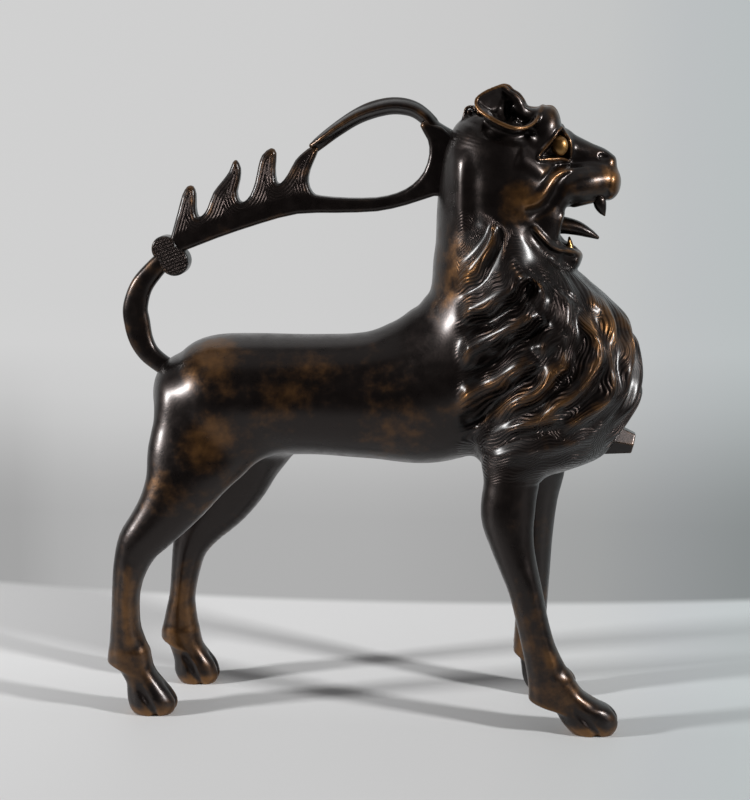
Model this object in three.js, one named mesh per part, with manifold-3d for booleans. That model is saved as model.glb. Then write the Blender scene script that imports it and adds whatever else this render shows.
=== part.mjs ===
// A lion aquamanile: a hollow cast bronze water vessel for washing hands, about 325 mm high.
// The lion faces +X, its left side is +Y, and it stands on z = 0 with its box centred on the origin.
// Water goes in under the hinged lid between the ears and runs out of the spout in the chest.
import * as THREE from "three";
import { mergeVertices } from "three/addons/utils/BufferGeometryUtils.js";
import Module from "manifold-3d";

// Overall sizes in millimetres
const lionLength = 271;
const lionWidth = 96;
const lionHeight = 325;

// Casting and fitting sizes
const wall = 3.4;
const seam = 0.3;

// Filler lid and its hinge
const fillerLength = 20;
const fillerWidth = 18;
const lidRim = 3.2;
const lidThickness = 2.6;
const lidSwing = 0.5;
const hingePinDiameter = 2.6;
const hingePinLength = 15;
const knuckleDiameter = 6.4;
const knuckleWidth = 5;
const lugWidth = 3.6;
const pinClearance = 0.3;

// Spout socket in the chest
const spoutBore = 7;
const spoutLength = 15;
const spoutMouthAcross = 11;
const spoutRootAcross = 18;
const spoutDip = 12;

// Handle and tail
const barThickness = 9;
const tailThickness = 8.4;
const knotThickness = 11;
const strapWidth = 14;

// The outlines below are drawn at these sizes and stretched to the overall sizes above
const drawn = { length: 271, width: 96, height: 325 };
const stretch = {
  x: lionLength / drawn.length,
  y: lionWidth / drawn.width,
  z: lionHeight / drawn.height,
};
const at = (x, y, z) => new THREE.Vector3(x * stretch.x, y * stretch.y, z * stretch.z);

const wasm = await Module();
wasm.setup();

// A closed geometry as a solid for joining and cutting
function solid(geometry) {
  const bare = geometry.index ? geometry.toNonIndexed() : geometry.clone();
  for (const name of Object.keys(bare.attributes)) {
    if (name !== "position") bare.deleteAttribute(name);
  }
  const merged = mergeVertices(bare, 1e-4);
  return new wasm.Manifold(
    new wasm.Mesh({
      numProp: 3,
      vertProperties: merged.attributes.position.array,
      triVerts: new Uint32Array(merged.index.array),
    }),
  );
}

// A solid back as a geometry
function geometryOf(shape) {
  const mesh = shape.getMesh();
  const points = new Float32Array(mesh.numVert * 3);
  for (let i = 0; i < mesh.numVert; i += 1) {
    const start = i * mesh.numProp;
    points.set(mesh.vertProperties.subarray(start, start + 3), i * 3);
  }
  const geometry = new THREE.BufferGeometry();
  geometry.setAttribute("position", new THREE.BufferAttribute(points, 3));
  geometry.setIndex(new THREE.BufferAttribute(new Uint32Array(mesh.triVerts), 1));
  geometry.computeVertexNormals();
  return geometry;
}

const join = (...shapes) => shapes.reduce((whole, shape) => whole.add(shape));

// One number of a smooth curve through four rows
function catmullRom(a, b, c, d, t) {
  const in1 = (c - a) / 2;
  const in2 = (d - b) / 2;
  const t2 = t * t;
  const t3 = t2 * t;
  return (2 * b - 2 * c + in1 + in2) * t3 + (-3 * b + 3 * c - 2 * in1 - in2) * t2 + in1 * t + b;
}

// Rows between the stations of a loft, on a smooth curve through every column
function refine(stations, steps) {
  const last = stations.length - 1;
  const rows = [];
  for (let i = 0; i < last; i += 1) {
    const [a, b, c, d] = [i - 1, i, i + 1, i + 2].map((k) => stations[Math.min(Math.max(k, 0), last)]);
    for (let step = 0; step < steps; step += 1) {
      rows.push(b.map((_, column) => catmullRom(a[column], b[column], c[column], d[column], step / steps)));
    }
  }
  rows.push(stations[last]);
  return rows;
}

const middleOf = (ring) => ring.reduce((sum, p) => sum.add(p), new THREE.Vector3()).divideScalar(ring.length);

// A closed skin over rings of equal count, with a fan over each end
function skin(rings) {
  const count = rings[0].length;
  const points = rings.flat();
  const first = points.push(middleOf(rings[0])) - 1;
  const last = points.push(middleOf(rings.at(-1))) - 1;
  const faces = [];
  rings.slice(1).forEach((_, ring) => {
    for (let i = 0; i < count; i += 1) {
      const j = (i + 1) % count;
      const a = ring * count + i;
      const b = ring * count + j;
      faces.push(a, b, b + count, a, b + count, a + count);
    }
  });
  const top = (rings.length - 1) * count;
  for (let i = 0; i < count; i += 1) {
    const j = (i + 1) % count;
    faces.push(first, j, i, last, top + i, top + j);
  }
  const geometry = new THREE.BufferGeometry().setFromPoints(points);
  geometry.setIndex(faces);
  const made = solid(geometry);
  if (made.volume() > 0) return made;
  geometry.setIndex(faces.reverse());
  return solid(geometry);
}

// A limb or barrel: each station is x, z, y, half depth in the side view and half width across.
// The rings stand square to the spine in the side view, or lie level. Grow moves the whole skin
// outwards, and a negative one leaves out the rows too near an end for the skin inside them.
function loft(stations, { sides = 20, steps = 3, grow = 0, square = 2, level = false } = {}) {
  const every = refine(stations, steps);
  const ends = [every[0], every.at(-1)].map(([x, z, y]) => at(x, y, z));
  const clear = ([x, z, y]) => ends.every((end) => at(x, y, z).distanceTo(end) >= -2 * grow);
  const rows = grow < 0 ? every.filter(clear) : every;
  const spine = rows.map(([x, z, y]) => at(x, y, z));
  const rings = rows.map((row, i) => {
    const ahead = spine[Math.min(i + 1, spine.length - 1)].clone();
    const run = ahead.sub(spine[Math.max(i - 1, 0)]).setY(0).normalize();
    if (level) run.set(0, 0, 1);
    const up = new THREE.Vector3(-run.z, 0, run.x);
    const deep = row[3] * Math.hypot(up.x * stretch.x, up.z * stretch.z) + grow;
    const wide = row[4] * stretch.y + grow;
    return Array.from({ length: sides }, (_, k) => {
      const turn = (2 * Math.PI * k) / sides;
      const [c, s] = [Math.cos(turn), Math.sin(turn)];
      const power = 2 / square;
      const across = Math.sign(c) * Math.abs(c) ** power;
      const high = Math.sign(s) * Math.abs(s) ** power;
      return spine[i]
        .clone()
        .addScaledVector(up, high * deep)
        .setY(spine[i].y + across * wide);
    });
  });
  if (grow > 0) lengthen(rings, grow);
  return skin(rings);
}

// A rope of round sections, tall times as high as wide, through rows of x, y, z and radius. Its
// sections stand square to it and are turned by a direction that the rope never runs along.
function rope(rows, { sides = 8, steps = 1, up = [0, 0, 1], tall = 1, grow = 0 } = {}) {
  const every = refine(rows, steps);
  const spine = every.map(([x, y, z]) => at(x, y, z));
  const rings = every.map((row, i) => {
    const ahead = spine[Math.min(i + 1, spine.length - 1)].clone();
    const run = ahead.sub(spine[Math.max(i - 1, 0)]).normalize();
    const side = run.clone().cross(new THREE.Vector3(...up)).normalize();
    const high = side.clone().cross(run);
    return Array.from({ length: sides }, (_, k) => {
      const turn = (2 * Math.PI * k) / sides;
      return spine[i]
        .clone()
        .addScaledVector(side, Math.cos(turn) * (row[3] + grow))
        .addScaledVector(high, Math.sin(turn) * (row[3] * tall + grow));
    });
  });
  if (grow > 0) lengthen(rings, grow);
  return skin(rings);
}

// Moves the end rings of a loft outwards along its spine
function lengthen(rings, amount) {
  for (const [end, next] of [[0, 1], [rings.length - 1, rings.length - 2]]) {
    const run = middleOf(rings[end]).sub(middleOf(rings[next])).normalize().multiplyScalar(amount);
    rings[end].forEach((p) => p.add(run));
  }
}

// A plate from a side-view outline, centred across the lion
function plate(outline, thickness) {
  const geometry = new THREE.ExtrudeGeometry(outline, { depth: thickness, bevelEnabled: false });
  geometry.translate(0, 0, -thickness / 2);
  geometry.rotateX(Math.PI / 2);
  return solid(geometry);
}

// A side-view outline through drawn points
function outlineOf(points) {
  return new THREE.Shape(points.map(([x, z]) => new THREE.Vector2(x * stretch.x, z * stretch.z)));
}

// A box by its two corners, in drawn coordinates
function block(low, high) {
  const [a, b] = [at(...low), at(...high)];
  const size = b.clone().sub(a);
  const geometry = new THREE.BoxGeometry(size.x, size.y, size.z);
  geometry.translate(...a.add(b).divideScalar(2));
  return solid(geometry);
}

// Everything to the left of a line from one side-view point to another, seen with the lion facing right
function leftOf([x1, z1], [x2, z2], gap = 0) {
  const [a, b] = [at(x1, 0, z1), at(x2, 0, z2)];
  const run = b.clone().sub(a).normalize();
  const out = new THREE.Vector3(-run.z, 0, run.x);
  const reach = 2 * (lionLength + lionHeight);
  const corner = (along, off) => {
    const p = a.clone().addScaledVector(run, along).addScaledVector(out, off);
    return new THREE.Vector2(p.x, p.z);
  };
  const outline = new THREE.Shape([
    corner(-reach, gap),
    corner(reach, gap),
    corner(reach, reach),
    corner(-reach, reach),
  ]);
  return plate(outline, 4 * lionWidth);
}

// An egg by its middle and three half sizes, in drawn coordinates
function egg(middle, radii, [round, high] = [16, 12]) {
  const geometry = new THREE.SphereGeometry(1, round, high);
  geometry.rotateX(Math.PI / 2);
  geometry.scale(radii[0] * stretch.x, radii[1] * stretch.y, radii[2] * stretch.z);
  geometry.translate(...at(...middle));
  return solid(geometry);
}

// A round rod across the lion, by its middle in real millimetres
function rodAcross(middle, diameter, length, sides = 12) {
  const geometry = new THREE.CylinderGeometry(diameter / 2, diameter / 2, length, sides);
  geometry.translate(...middle);
  return solid(geometry);
}

// A plan with round corners, raised from one height to another, in real millimetres
function slab(middle, length, width, low, high, { corner = 5, bevel = 0 } = {}) {
  const [x, y] = [length / 2 - corner, width / 2 - corner];
  const plan = new THREE.Shape();
  plan.absarc(x, y, corner, 0, Math.PI / 2);
  plan.absarc(-x, y, corner, Math.PI / 2, Math.PI);
  plan.absarc(-x, -y, corner, Math.PI, 1.5 * Math.PI);
  plan.absarc(x, -y, corner, 1.5 * Math.PI, 2 * Math.PI);
  const geometry = new THREE.ExtrudeGeometry(plan, {
    depth: high - low - bevel,
    bevelEnabled: false,
    curveSegments: 3,
  });
  geometry.translate(middle.x, middle.y, low);
  if (!bevel) return solid(geometry);
  const cap = new THREE.ExtrudeGeometry(plan, {
    depth: 0.01,
    bevelThickness: bevel,
    bevelSize: bevel,
    bevelOffset: -bevel,
    bevelSegments: 1,
    curveSegments: 3,
  });
  cap.translate(middle.x, middle.y, high - bevel - 0.01);
  return solid(geometry).add(solid(cap));
}

// The barrel and neck in one sweep, from the rump along the back and up to the crown
const bodyStations = [
  [-111, 163, 0, 5, 7],
  [-107.5, 163, 0, 14, 18],
  [-98, 163.5, 0, 24, 27],
  [-80, 164, 0, 30.8, 33.5],
  [-58, 164.6, 0, 31.3, 33],
  [-30, 165, 0, 30.6, 30.5],
  [0, 164.8, 0, 32, 29.5],
  [30, 168.6, 0, 37.4, 31],
  [55, 184.5, 0, 39, 32.5],
  [65.2, 213, 0, 34.4, 32],
  [62.9, 238, 0, 30.7, 30],
  [62.8, 258, 0, 30.2, 28.5],
  [63, 276, 0, 29, 28.5],
  [65, 290, 0, 27.5, 27],
  [67.5, 299, 0, 23.5, 23.5],
  [69, 304, 0, 19, 19.5],
  [69.5, 307, 0, 12, 13],
];

// The chest under its mane, from the belly up to the throat
const maneStations = [
  [77.5, 127.5, 0, 11, 14],
  [79, 129.6, 0, 18.5, 24],
  [82, 134, 0, 27, 33],
  [86.2, 139, 0, 33, 39],
  [88.3, 147, 0, 36.8, 43],
  [90.2, 158, 0, 40.5, 45.5],
  [92, 168, 0, 43, 46.5],
  [92, 182, 0, 43.3, 46.5],
  [89, 200, 0, 41.5, 44],
  [82.6, 216, 0, 38, 40.5],
  [74.4, 229, 0, 31, 36],
  [69.8, 237, 0, 26.5, 33],
  [68, 246, 0, 23, 31],
  [67, 256, 0, 19, 28],
];

// The bridge of the nose, and the upper lip under it, from inside the skull forwards
const bridgeStations = [
  [78, 292, 0, 13, 14],
  [92, 292, 0, 10.6, 11],
  [98, 290, 0, 8.8, 9.4],
  [106, 287, 0, 7.9, 8],
  [113, 285, 0, 7, 7.2],
  [117.4, 282.6, 0, 5.8, 6],
  [119.6, 281, 0, 3, 4],
];
const lipStations = [
  [76, 274, 0, 13, 23],
  [90, 273.6, 0, 11.4, 21.5],
  [99, 273.4, 0, 10.6, 19.5],
  [108, 274.4, 0, 10, 17],
  [115.5, 274.8, 0, 9.2, 13.5],
  [120.6, 274, 0, 6.8, 9.5],
  [123.2, 273.2, 0, 2.4, 4.6],
];

const bodyOuter = (grow = 0) => loft(bodyStations, { sides: 20, steps: 1, grow });
const bodyInner = () => loft(bodyStations, { sides: 14, steps: 1, grow: -wall });
const maneOuter = (grow = 0) => loft(maneStations, { sides: 20, steps: 1, grow, level: true });
const maneInner = () => loft(maneStations, { sides: 14, steps: 1, grow: -wall, level: true });
const muzzle = (grow = 0) => join(
  loft(bridgeStations, { sides: 12, steps: 1, square: 2.2, grow }),
  loft(lipStations, { sides: 14, steps: 1, square: 2.3, grow }),
);

// The mane's locks on the lion's right side: how thick each is at its middle, then the points
// that it runs through, as a turn from the front in degrees and a height
const lockTable = [
  [5.0, [78, 234], [86, 231], [100, 225], [126, 216], [150, 209]],
  [5.2, [86, 216], [99, 211], [112, 206], [129, 199], [150, 188]],
  [4.4, [55, 225], [66, 218], [76, 208], [90, 200]],
  [4.8, [97, 194], [114, 186], [130, 178], [146, 169]],
  [4.2, [66, 208], [78, 197], [86, 187], [99, 177], [116, 169], [133, 160]],
  [4.6, [58, 213], [56, 199], [64, 186], [76, 176], [96, 163]],
  [4.8, [18, 224], [31, 214], [44, 201], [51, 187], [54, 173], [74, 160]],
  [4.6, [6, 215], [18, 202], [30, 188], [41, 174], [53, 162]],
  [4.2, [4, 199], [13, 185], [25, 170], [38, 157]],
  [3.8, [5, 174], [15, 162], [28, 151]],
  [4.2, [60, 230], [64, 220], [74, 209]],
  [4.0, [80, 166], [97, 162], [113, 158], [128, 153]],
  [3.8, [97, 254], [104, 248], [116, 240], [134, 231]],
];
const lockFlat = 0.6;
const lockSink = 0.14;
const lockEnd = 0.42;
const swelling = (share) => Math.sin(Math.PI * (0.12 + 0.76 * share));

// The middle and half sizes of the mane's section at a height
function maneSection(z) {
  const next = maneStations.findIndex((row) => row[1] > z);
  const [low, high] = [maneStations[next - 1], maneStations[next]];
  const share = (z - low[1]) / (high[1] - low[1]);
  const [x, , , deep, wide] = low.map((value, i) => value + share * (high[i] - value));
  return { x, deep, wide };
}

// Puts a lock's spine on the casting, where a line from outside towards the mane's middle meets it
function lockRows(lion, side, [thick, ...points]) {
  return points.map(([degrees, z], i) => {
    const section = maneSection(z);
    const turn = THREE.MathUtils.degToRad(degrees);
    const out = at(section.deep * Math.cos(turn), side * section.wide * Math.sin(turn), 0).normalize();
    const start = at(section.x, 0, z).addScaledVector(out, lionLength);
    const [hit] = new THREE.Raycaster(start, out.clone().negate()).intersectObject(lion);
    const share = i / (points.length - 1);
    const radius = thick * (lockEnd + (1 - lockEnd) * swelling(share));
    const spot = hit.point.addScaledVector(out, -lockSink * radius);
    return [spot.x / stretch.x, spot.y / stretch.y, spot.z / stretch.z, radius];
  });
}

// All the locks of both sides, each a flattened rope laid along the casting
function locksOn(shape, grow) {
  const lion = new THREE.Mesh(geometryOf(shape));
  return join(...[-1, 1].flatMap((side) => lockTable.map((row) => {
    const turn = THREE.MathUtils.degToRad(row[Math.ceil(row.length / 2)][0]);
    const up = [Math.cos(turn), side * Math.sin(turn), 0];
    return rope(lockRows(lion, side, row), { sides: 4, up, tall: lockFlat, grow });
  })));
}

const bare = join(bodyOuter(), maneOuter());
const vessel = bare.add(locksOn(bare, 0));
const cavity = join(bodyInner(), maneInner());
const vesselGrown = join(bodyOuter(seam), maneOuter(seam), locksOn(bare, seam));

// Side-view lines where the casting is parted into torso, mane and head
const maneBorder = [[40, 264], [44, 140]];
const headBorder = [[28, 269], [98, 238]];
const frontPart = (shape, [a, b]) => shape.intersect(leftOf(a, b, seam / 2));
const backPart = (shape, [a, b]) => shape.subtract(leftOf(a, b, -seam / 2));

// Filler hole in the crown, its lid and hinge, all along the middle
const filler = at(66, 0, 0);
const lidSeat = 308 * stretch.z;
const lidLength = fillerLength + 2 * lidRim;
const lidWidth = fillerWidth + 2 * lidRim;
const lidLow = lidSeat + seam;
const lidHigh = lidLow + lidThickness;
const hinge = new THREE.Vector3(
  filler.x - lidLength / 2 - lidSwing - knuckleDiameter / 2,
  0,
  lidSeat + lidThickness / 2,
);
const lugMiddle = knuckleWidth / 2 + pinClearance + lugWidth / 2;
const lugRoot = 13;

function hingeLug(side) {
  const eye = rodAcross([hinge.x, side * lugMiddle, hinge.z], knuckleDiameter, lugWidth);
  const geometry = new THREE.BoxGeometry(knuckleDiameter, lugWidth, lugRoot);
  geometry.translate(hinge.x, side * lugMiddle, hinge.z - lugRoot / 2);
  return eye.add(solid(geometry));
}

const bayPlan = [lidLength + 2 * lidSwing, lidWidth + 2 * lidSwing];
const lidBay = slab(filler, ...bayPlan, lidSeat, lidSeat + 40);
const knuckleBay = rodAcross(hinge, knuckleDiameter + 2 * lidSwing, knuckleWidth + 2 * pinClearance);
const pinBore = rodAcross(hinge, hingePinDiameter + 2 * pinClearance, 2 * hingePinLength);
const fillerHole = slab(filler, fillerLength, fillerWidth, 285 * stretch.z, lidSeat + 40);
const fillerRim = slab(filler, lidLength, lidWidth, 298 * stretch.z, lidSeat);
const earBay = slab(filler, ...bayPlan, 285 * stretch.z, lidSeat + 40);

const model = new THREE.Group();
const bronze = new THREE.MeshStandardMaterial({ color: 0x3a2a1c, roughness: 0.32, metalness: 0.9 });
const brass = new THREE.MeshStandardMaterial({ color: 0x8a6428, roughness: 0.3, metalness: 0.9 });

function piece(name, shape, material = bronze) {
  const mesh = new THREE.Mesh(geometryOf(shape), material);
  mesh.name = name;
  model.add(mesh);
}

// Eyes: an egg in a three-cornered socket that faces out, forwards and up
const eyeMiddle = [93.2, 14.6, 293.4];
const eyeSize = [4.2, 3.6, 5];
const socketCorners = [[-12, -7], [0.5, 6.5], [6, -6.8]];
const socketDepth = 2.2;
const socketUp = 0.35;
const socketForwards = 0.5;

function eyeSocket(side) {
  const geometry = new THREE.ExtrudeGeometry(outlineOf(socketCorners), { depth: 20, bevelEnabled: false });
  geometry.translate(0, 0, -socketDepth);
  geometry.rotateX(Math.PI / 2);
  geometry.rotateX(socketUp);
  geometry.rotateZ(socketForwards);
  if (side > 0) {
    geometry.scale(1, -1, 1);
    flip(geometry);
  }
  geometry.translate(...at(eyeMiddle[0], side * (eyeMiddle[1] + 1.6), eyeMiddle[2]));
  return solid(geometry);
}

// Turns the faces of a mirrored geometry the right way out again
function flip(geometry) {
  const p = geometry.attributes.position;
  for (let i = 0; i < p.count; i += 3) {
    const [a, c] = [i, i + 2].map((k) => new THREE.Vector3().fromBufferAttribute(p, k));
    p.setXYZ(i, ...c);
    p.setXYZ(i + 2, ...a);
  }
}

const eyeball = (side, grow = 0) => egg(
  [eyeMiddle[0], side * eyeMiddle[1], eyeMiddle[2]],
  eyeSize.map((size) => size + grow),
  [10, 7],
);

// Brows over the eyes and cheeks at the corners of the mouth
function lumps(grow = 0) {
  const lump = (middle, sizes) => egg(middle, sizes.map((size) => size + grow), [9, 6]);
  return join(...[-1, 1].flatMap((side) => [
    lump([85.3, side * 13, 300.5], [8, 8.5, 11.2]),
    lump([78, side * 15, 272], [13, 12.5, 13]),
  ]));
}

// The folds of the lips: one over the upper lip, and the corners where they meet the lower jaw
const lipFolds = () => join(...[-1, 1].map((side) => rope(
  [
    [80, side * 22, 265.5, 1.6],
    [87.4, side * 21, 271, 2.4],
    [91.4, side * 19.6, 278.4, 2.4],
    [97, side * 17.4, 282.4, 2.2],
    [104, side * 14, 283.8, 1.2],
  ],
  { sides: 6, up: [0, 1, 0] },
)));
const mouthCorners = (grow = 0) => join(...[-1, 1].map((side) => rope(
  [
    [99, side * 15, 264, 3],
    [94.4, side * 15.8, 258.4, 3.6],
    [91.4, side * 16.4, 251.5, 3.6],
    [91.4, side * 16, 245, 3.8],
    [96, side * 14.6, 241.4, 3],
  ],
  { sides: 7, up: [0, 1, 0], grow },
)));

// The head: skull, muzzle, brows and cheeks, open at the crown and parted from the neck
function headShell() {
  const nostrils = [-1, 1].map((side) => egg([115.6, side * 7, 288.4], [3, 2, 2], [8, 6]));
  const lugs = [-1, 1].map(hingeLug);
  const whole = join(vessel, muzzle(), lumps(), lipFolds(), mouthCorners(), fillerRim, ...lugs);
  const cuts = join(cavity, fillerHole, lidBay, knuckleBay, pinBore, ...nostrils);
  const sockets = [-1, 1].map((side) => join(eyeSocket(side), eyeball(side, seam)));
  return frontPart(whole, headBorder).subtract(cuts).subtract(join(...sockets));
}

// An ear: a deep cup open outwards with a rolled rim, a fold behind its front edge and a slot
const earOutline = [
  [44, 292], [49.5, 312.5], [52.5, 316], [64.5, 323.4], [68.5, 323], [73.4, 318.6],
  [76.6, 311.6], [87, 312.4], [93, 292],
];
const earRim = [
  [84.6, 15, 311.4, 1.2], [81, 24.4, 304.8, 1.5], [73.9, 31.8, 302.4, 1.7], [65.3, 33.4, 304.8, 1.6],
  [57.9, 31.2, 308.8, 1.5], [53.4, 27, 313.6, 1.4], [57.7, 24, 319.2, 1.3], [64.6, 21.6, 321.6, 1.3],
  [68.6, 20.4, 318.6, 1.1],
];
const earFold = [
  [77, 20, 311, 2.2], [75, 21.8, 316, 2.4], [71.4, 23.4, 316.6, 2], [71.6, 27.6, 308, 1.4],
];
const earSlot = [[68.6, 24, 319, 1.6], [67, 25.4, 312, 2.4], [66, 26, 306.4, 1.8]];
function ear(side) {
  const cup = egg([69, side * 23.6, 313.4], [16.6, 10.4, 11.4], [12, 8]);
  const bowl = egg([67.6, side * 29, 316], [14.6, 12, 11.4], [12, 8]);
  const along = (rows) => rope(
    rows.map(([x, y, z, radius]) => [x, side * y, z, radius]),
    { sides: 6, up: [0, 1, 0] },
  );
  const [rim, fold, slot] = [earRim, earFold, earSlot].map(along);
  return cup
    .subtract(bowl)
    .add(fold)
    .subtract(slot)
    .intersect(plate(outlineOf(earOutline), 2 * lionWidth))
    .add(rim)
    .subtract(join(vesselGrown, muzzle(seam), lumps(seam), earBay));
}

const jawStations = [
  [78, 243.6, 0, 8, 19],
  [87, 241, 0, 7.2, 17.8],
  [93, 239.2, 0, 5.4, 15.5],
  [99, 237.7, 0, 4.4, 11.5],
  [103.2, 236.6, 0, 3.4, 7.5],
  [105.4, 236, 0, 1.4, 3],
];
const lowerJaw = (grow = 0) => loft(jawStations, { sides: 14, steps: 1, square: 2.4, grow });

const tongue = loft(
  [
    [84, 254.5, 0, 4.6, 7],
    [96.7, 253.6, 0, 4.2, 6.6],
    [103.2, 252, 0, 3.4, 5.4],
    [109, 249.6, 0, 2.1, 3.6],
    [113.6, 247, 0, 0.7, 1.2],
  ],
  { sides: 12, steps: 1 },
);

const upperFang = (side) => loft(
  [
    [112.8, 266, side * 9, 3, 2.6],
    [113.8, 262, side * 9, 2.6, 2.2],
    [115.3, 258.2, side * 9, 0.5, 0.5],
  ],
  { sides: 10, steps: 1 },
);
const lowerFang = (side) => loft(
  [
    [99.8, 238, side * 8, 2.6, 2.4],
    [99.5, 242.4, side * 8, 1.9, 1.8],
    [99, 246.4, side * 8, 0.5, 0.5],
  ],
  { sides: 10, steps: 1 },
);

// The lid: a plate over the hole, a locating rim inside it and a knuckle on the hinge pin
function fillerLid() {
  const top = slab(filler, lidLength, lidWidth, lidLow, lidHigh, { bevel: 0.8 });
  const inside = (gap) => [fillerLength - 2 * gap, fillerWidth - 2 * gap];
  const plug = slab(filler, ...inside(lidSwing), lidLow - lidThickness, lidLow + 0.5, { corner: 4.5 });
  const scoop = slab(filler, ...inside(lidSwing + 1.6), lidLow - 2 * lidThickness, lidLow, { corner: 3 });
  const knuckle = rodAcross(hinge, knuckleDiameter, knuckleWidth);
  const reach = filler.x - hinge.x;
  const strapGeometry = new THREE.BoxGeometry(reach, knuckleWidth, lidThickness);
  strapGeometry.translate((filler.x + hinge.x) / 2, 0, (lidLow + lidHigh) / 2);
  return join(top, knuckle, solid(strapGeometry), plug.subtract(scoop)).subtract(pinBore);
}

// Each leg: a shank from the hip or shoulder down, cut off at a ledge behind the ankle, and a paw.
// A station is x, z, y, half depth along the stride and half width; the paw's sections lie level.
const foreRight = {
  shank: [
    [74, 145, -25, 15, 11],
    [72.5, 128, -27, 13.5, 12],
    [71, 112, -29, 13.6, 11.5],
    [74, 95, -30.5, 10.6, 10.5],
    [80, 75, -32, 8.4, 9.2],
    [84.2, 57, -32.6, 7.8, 8.4],
    [87.6, 44, -32.8, 8.2, 8],
    [91.6, 32, -32.6, 10, 8.2],
    [94.6, 22, -32.2, 12, 8.6],
    [95.8, 12, -32, 12.8, 8.6],
  ],
  ledge: [[83, 16.4], [99, 12]],
  paw: [
    [115.4, -2, -30, 9, 8],
    [115, 2, -30, 12.4, 9.8],
    [114, 5.5, -30, 14.3, 10.6],
    [112.4, 9.5, -30.2, 15, 10.4],
    [109.4, 13.4, -30.6, 14.7, 9.8],
    [105.8, 16.4, -31, 12.4, 9],
    [100, 21.5, -31.8, 10.6, 8.4],
    [96, 28, -32, 9.2, 8],
  ],
};
const foreLeft = {
  shank: [
    [86, 145, 25, 14, 11],
    [86, 126, 26, 13.4, 12],
    [84, 108, 27, 11.6, 11.5],
    [83.5, 88, 27.6, 9.8, 10.4],
    [83.5, 68, 28, 8.6, 9.2],
    [83, 52, 28, 8.2, 8.4],
    [82.4, 40, 28, 8.4, 8.2],
    [83.4, 30, 28, 10, 8.4],
    [85, 20, 28, 12, 8.6],
    [86, 10, 27.6, 12.6, 8.6],
  ],
  ledge: [[72, 22], [88, 17.5]],
  paw: [
    [94.6, -2, 27.6, 9, 8],
    [94.2, 2, 27.6, 12.2, 9.6],
    [93.4, 6, 27.6, 14, 10.4],
    [91.8, 10.5, 27.6, 13.6, 10],
    [89, 15, 27.6, 11.4, 9],
    [86.4, 20.5, 27.8, 9.6, 8.4],
    [84.6, 28, 28, 9, 8],
  ],
};
const hindRight = {
  shank: [
    [-76, 153, -13, 26, 13],
    [-87, 136.5, -20, 24.5, 14.5],
    [-96.6, 119.8, -24, 19.6, 13.4],
    [-103.6, 108.6, -25.6, 15.6, 12.2],
    [-110, 99.8, -26.6, 13, 11.2],
    [-117, 91, -27.2, 11.2, 10.4],
    [-121.8, 79, -27.4, 8.8, 9.4],
    [-124.4, 66, -27.4, 7.2, 8.4],
    [-125.2, 54, -26.8, 7.2, 8],
    [-125.4, 45, -26, 8, 8],
    [-124.6, 36, -25.4, 10, 8.2],
    [-124.4, 28, -25, 11.3, 8.4],
    [-124.2, 18, -24.6, 11.6, 8.4],
  ],
  ledge: [[-136, 26.4], [-116, 22]],
  paw: [
    [-112.2, -2, -23.6, 8.4, 7.8],
    [-112.2, 2, -23.6, 11.8, 9.8],
    [-112.6, 6.6, -23.8, 12.7, 10.6],
    [-114.1, 11.5, -24, 11.6, 9.8],
    [-115.9, 16, -24.4, 9.9, 8.8],
    [-118.9, 21, -24.8, 9.2, 8.4],
    [-121.6, 26, -25, 9.2, 8.2],
    [-123, 32, -25, 9.4, 8.2],
  ],
};
const hindLeft = {
  shank: [
    [-60, 148, 13, 24, 13],
    [-71, 132, 19.5, 23.4, 14.5],
    [-79.4, 116, 23, 18.6, 13.4],
    [-87, 102.5, 24.6, 15.2, 12.2],
    [-96, 89.5, 26, 12.6, 11],
    [-101.6, 76, 26.4, 9.6, 9.6],
    [-104.6, 62, 26.4, 7.7, 8.4],
    [-106.4, 49, 26.2, 7, 8],
    [-107.2, 40, 26, 8.2, 8.2],
    [-107.6, 31, 26, 9.8, 8.4],
    [-108, 23, 26, 10.6, 8.6],
    [-108, 14, 26, 10.8, 8.6],
  ],
  ledge: [[-119.4, 24.2], [-99, 19]],
  paw: [
    [-98.4, -2, 27, 8, 7.8],
    [-98.6, 2.2, 27, 11.2, 9.6],
    [-99.3, 6.2, 27, 12.1, 10.2],
    [-100.2, 11.4, 26.8, 11.3, 9.6],
    [-102.5, 16.4, 26.4, 10.1, 8.8],
    [-105, 21.5, 26, 9.2, 8.4],
    [-107.4, 28, 26, 9.2, 8.2],
  ],
};

// Three grooves run down each paw between its four toes, at turns from its front in degrees. The
// two at the sides start further back than they end, and each fades out at its upper end.
const grooveTurns = [-74, 0, 74];
const grooveDrift = 4;
const grooveRadius = 1.5;
const grooveRows = 5;
function toeGroove(paw, degrees) {
  const rows = paw.slice(0, grooveRows).map(([x, z, y, deep, wide], i) => {
    const turn = THREE.MathUtils.degToRad(degrees + Math.sign(degrees) * grooveDrift * i);
    const out = i === grooveRows - 1 ? grooveRadius : 0;
    return [x + (deep + out) * Math.cos(turn), y + (wide + out) * Math.sin(turn), z, grooveRadius];
  });
  const turn = THREE.MathUtils.degToRad(degrees);
  return rope(rows, { sides: 4, up: [Math.sin(turn), -Math.cos(turn), 0] });
}

const underFloor = block([-lionLength, -lionLength, -lionHeight], [lionLength, lionLength, 0]);
function leg({ shank, ledge, paw }) {
  const upper = loft(shank, { sides: 12, steps: 1 }).intersect(leftOf(...ledge));
  const grooves = grooveTurns.map((degrees) => toeGroove(paw, degrees));
  const foot = loft(paw, { sides: 12, steps: 1, square: 2.2, level: true }).subtract(join(...grooves));
  return upper.add(foot).subtract(vesselGrown).subtract(underFloor);
}

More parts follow.
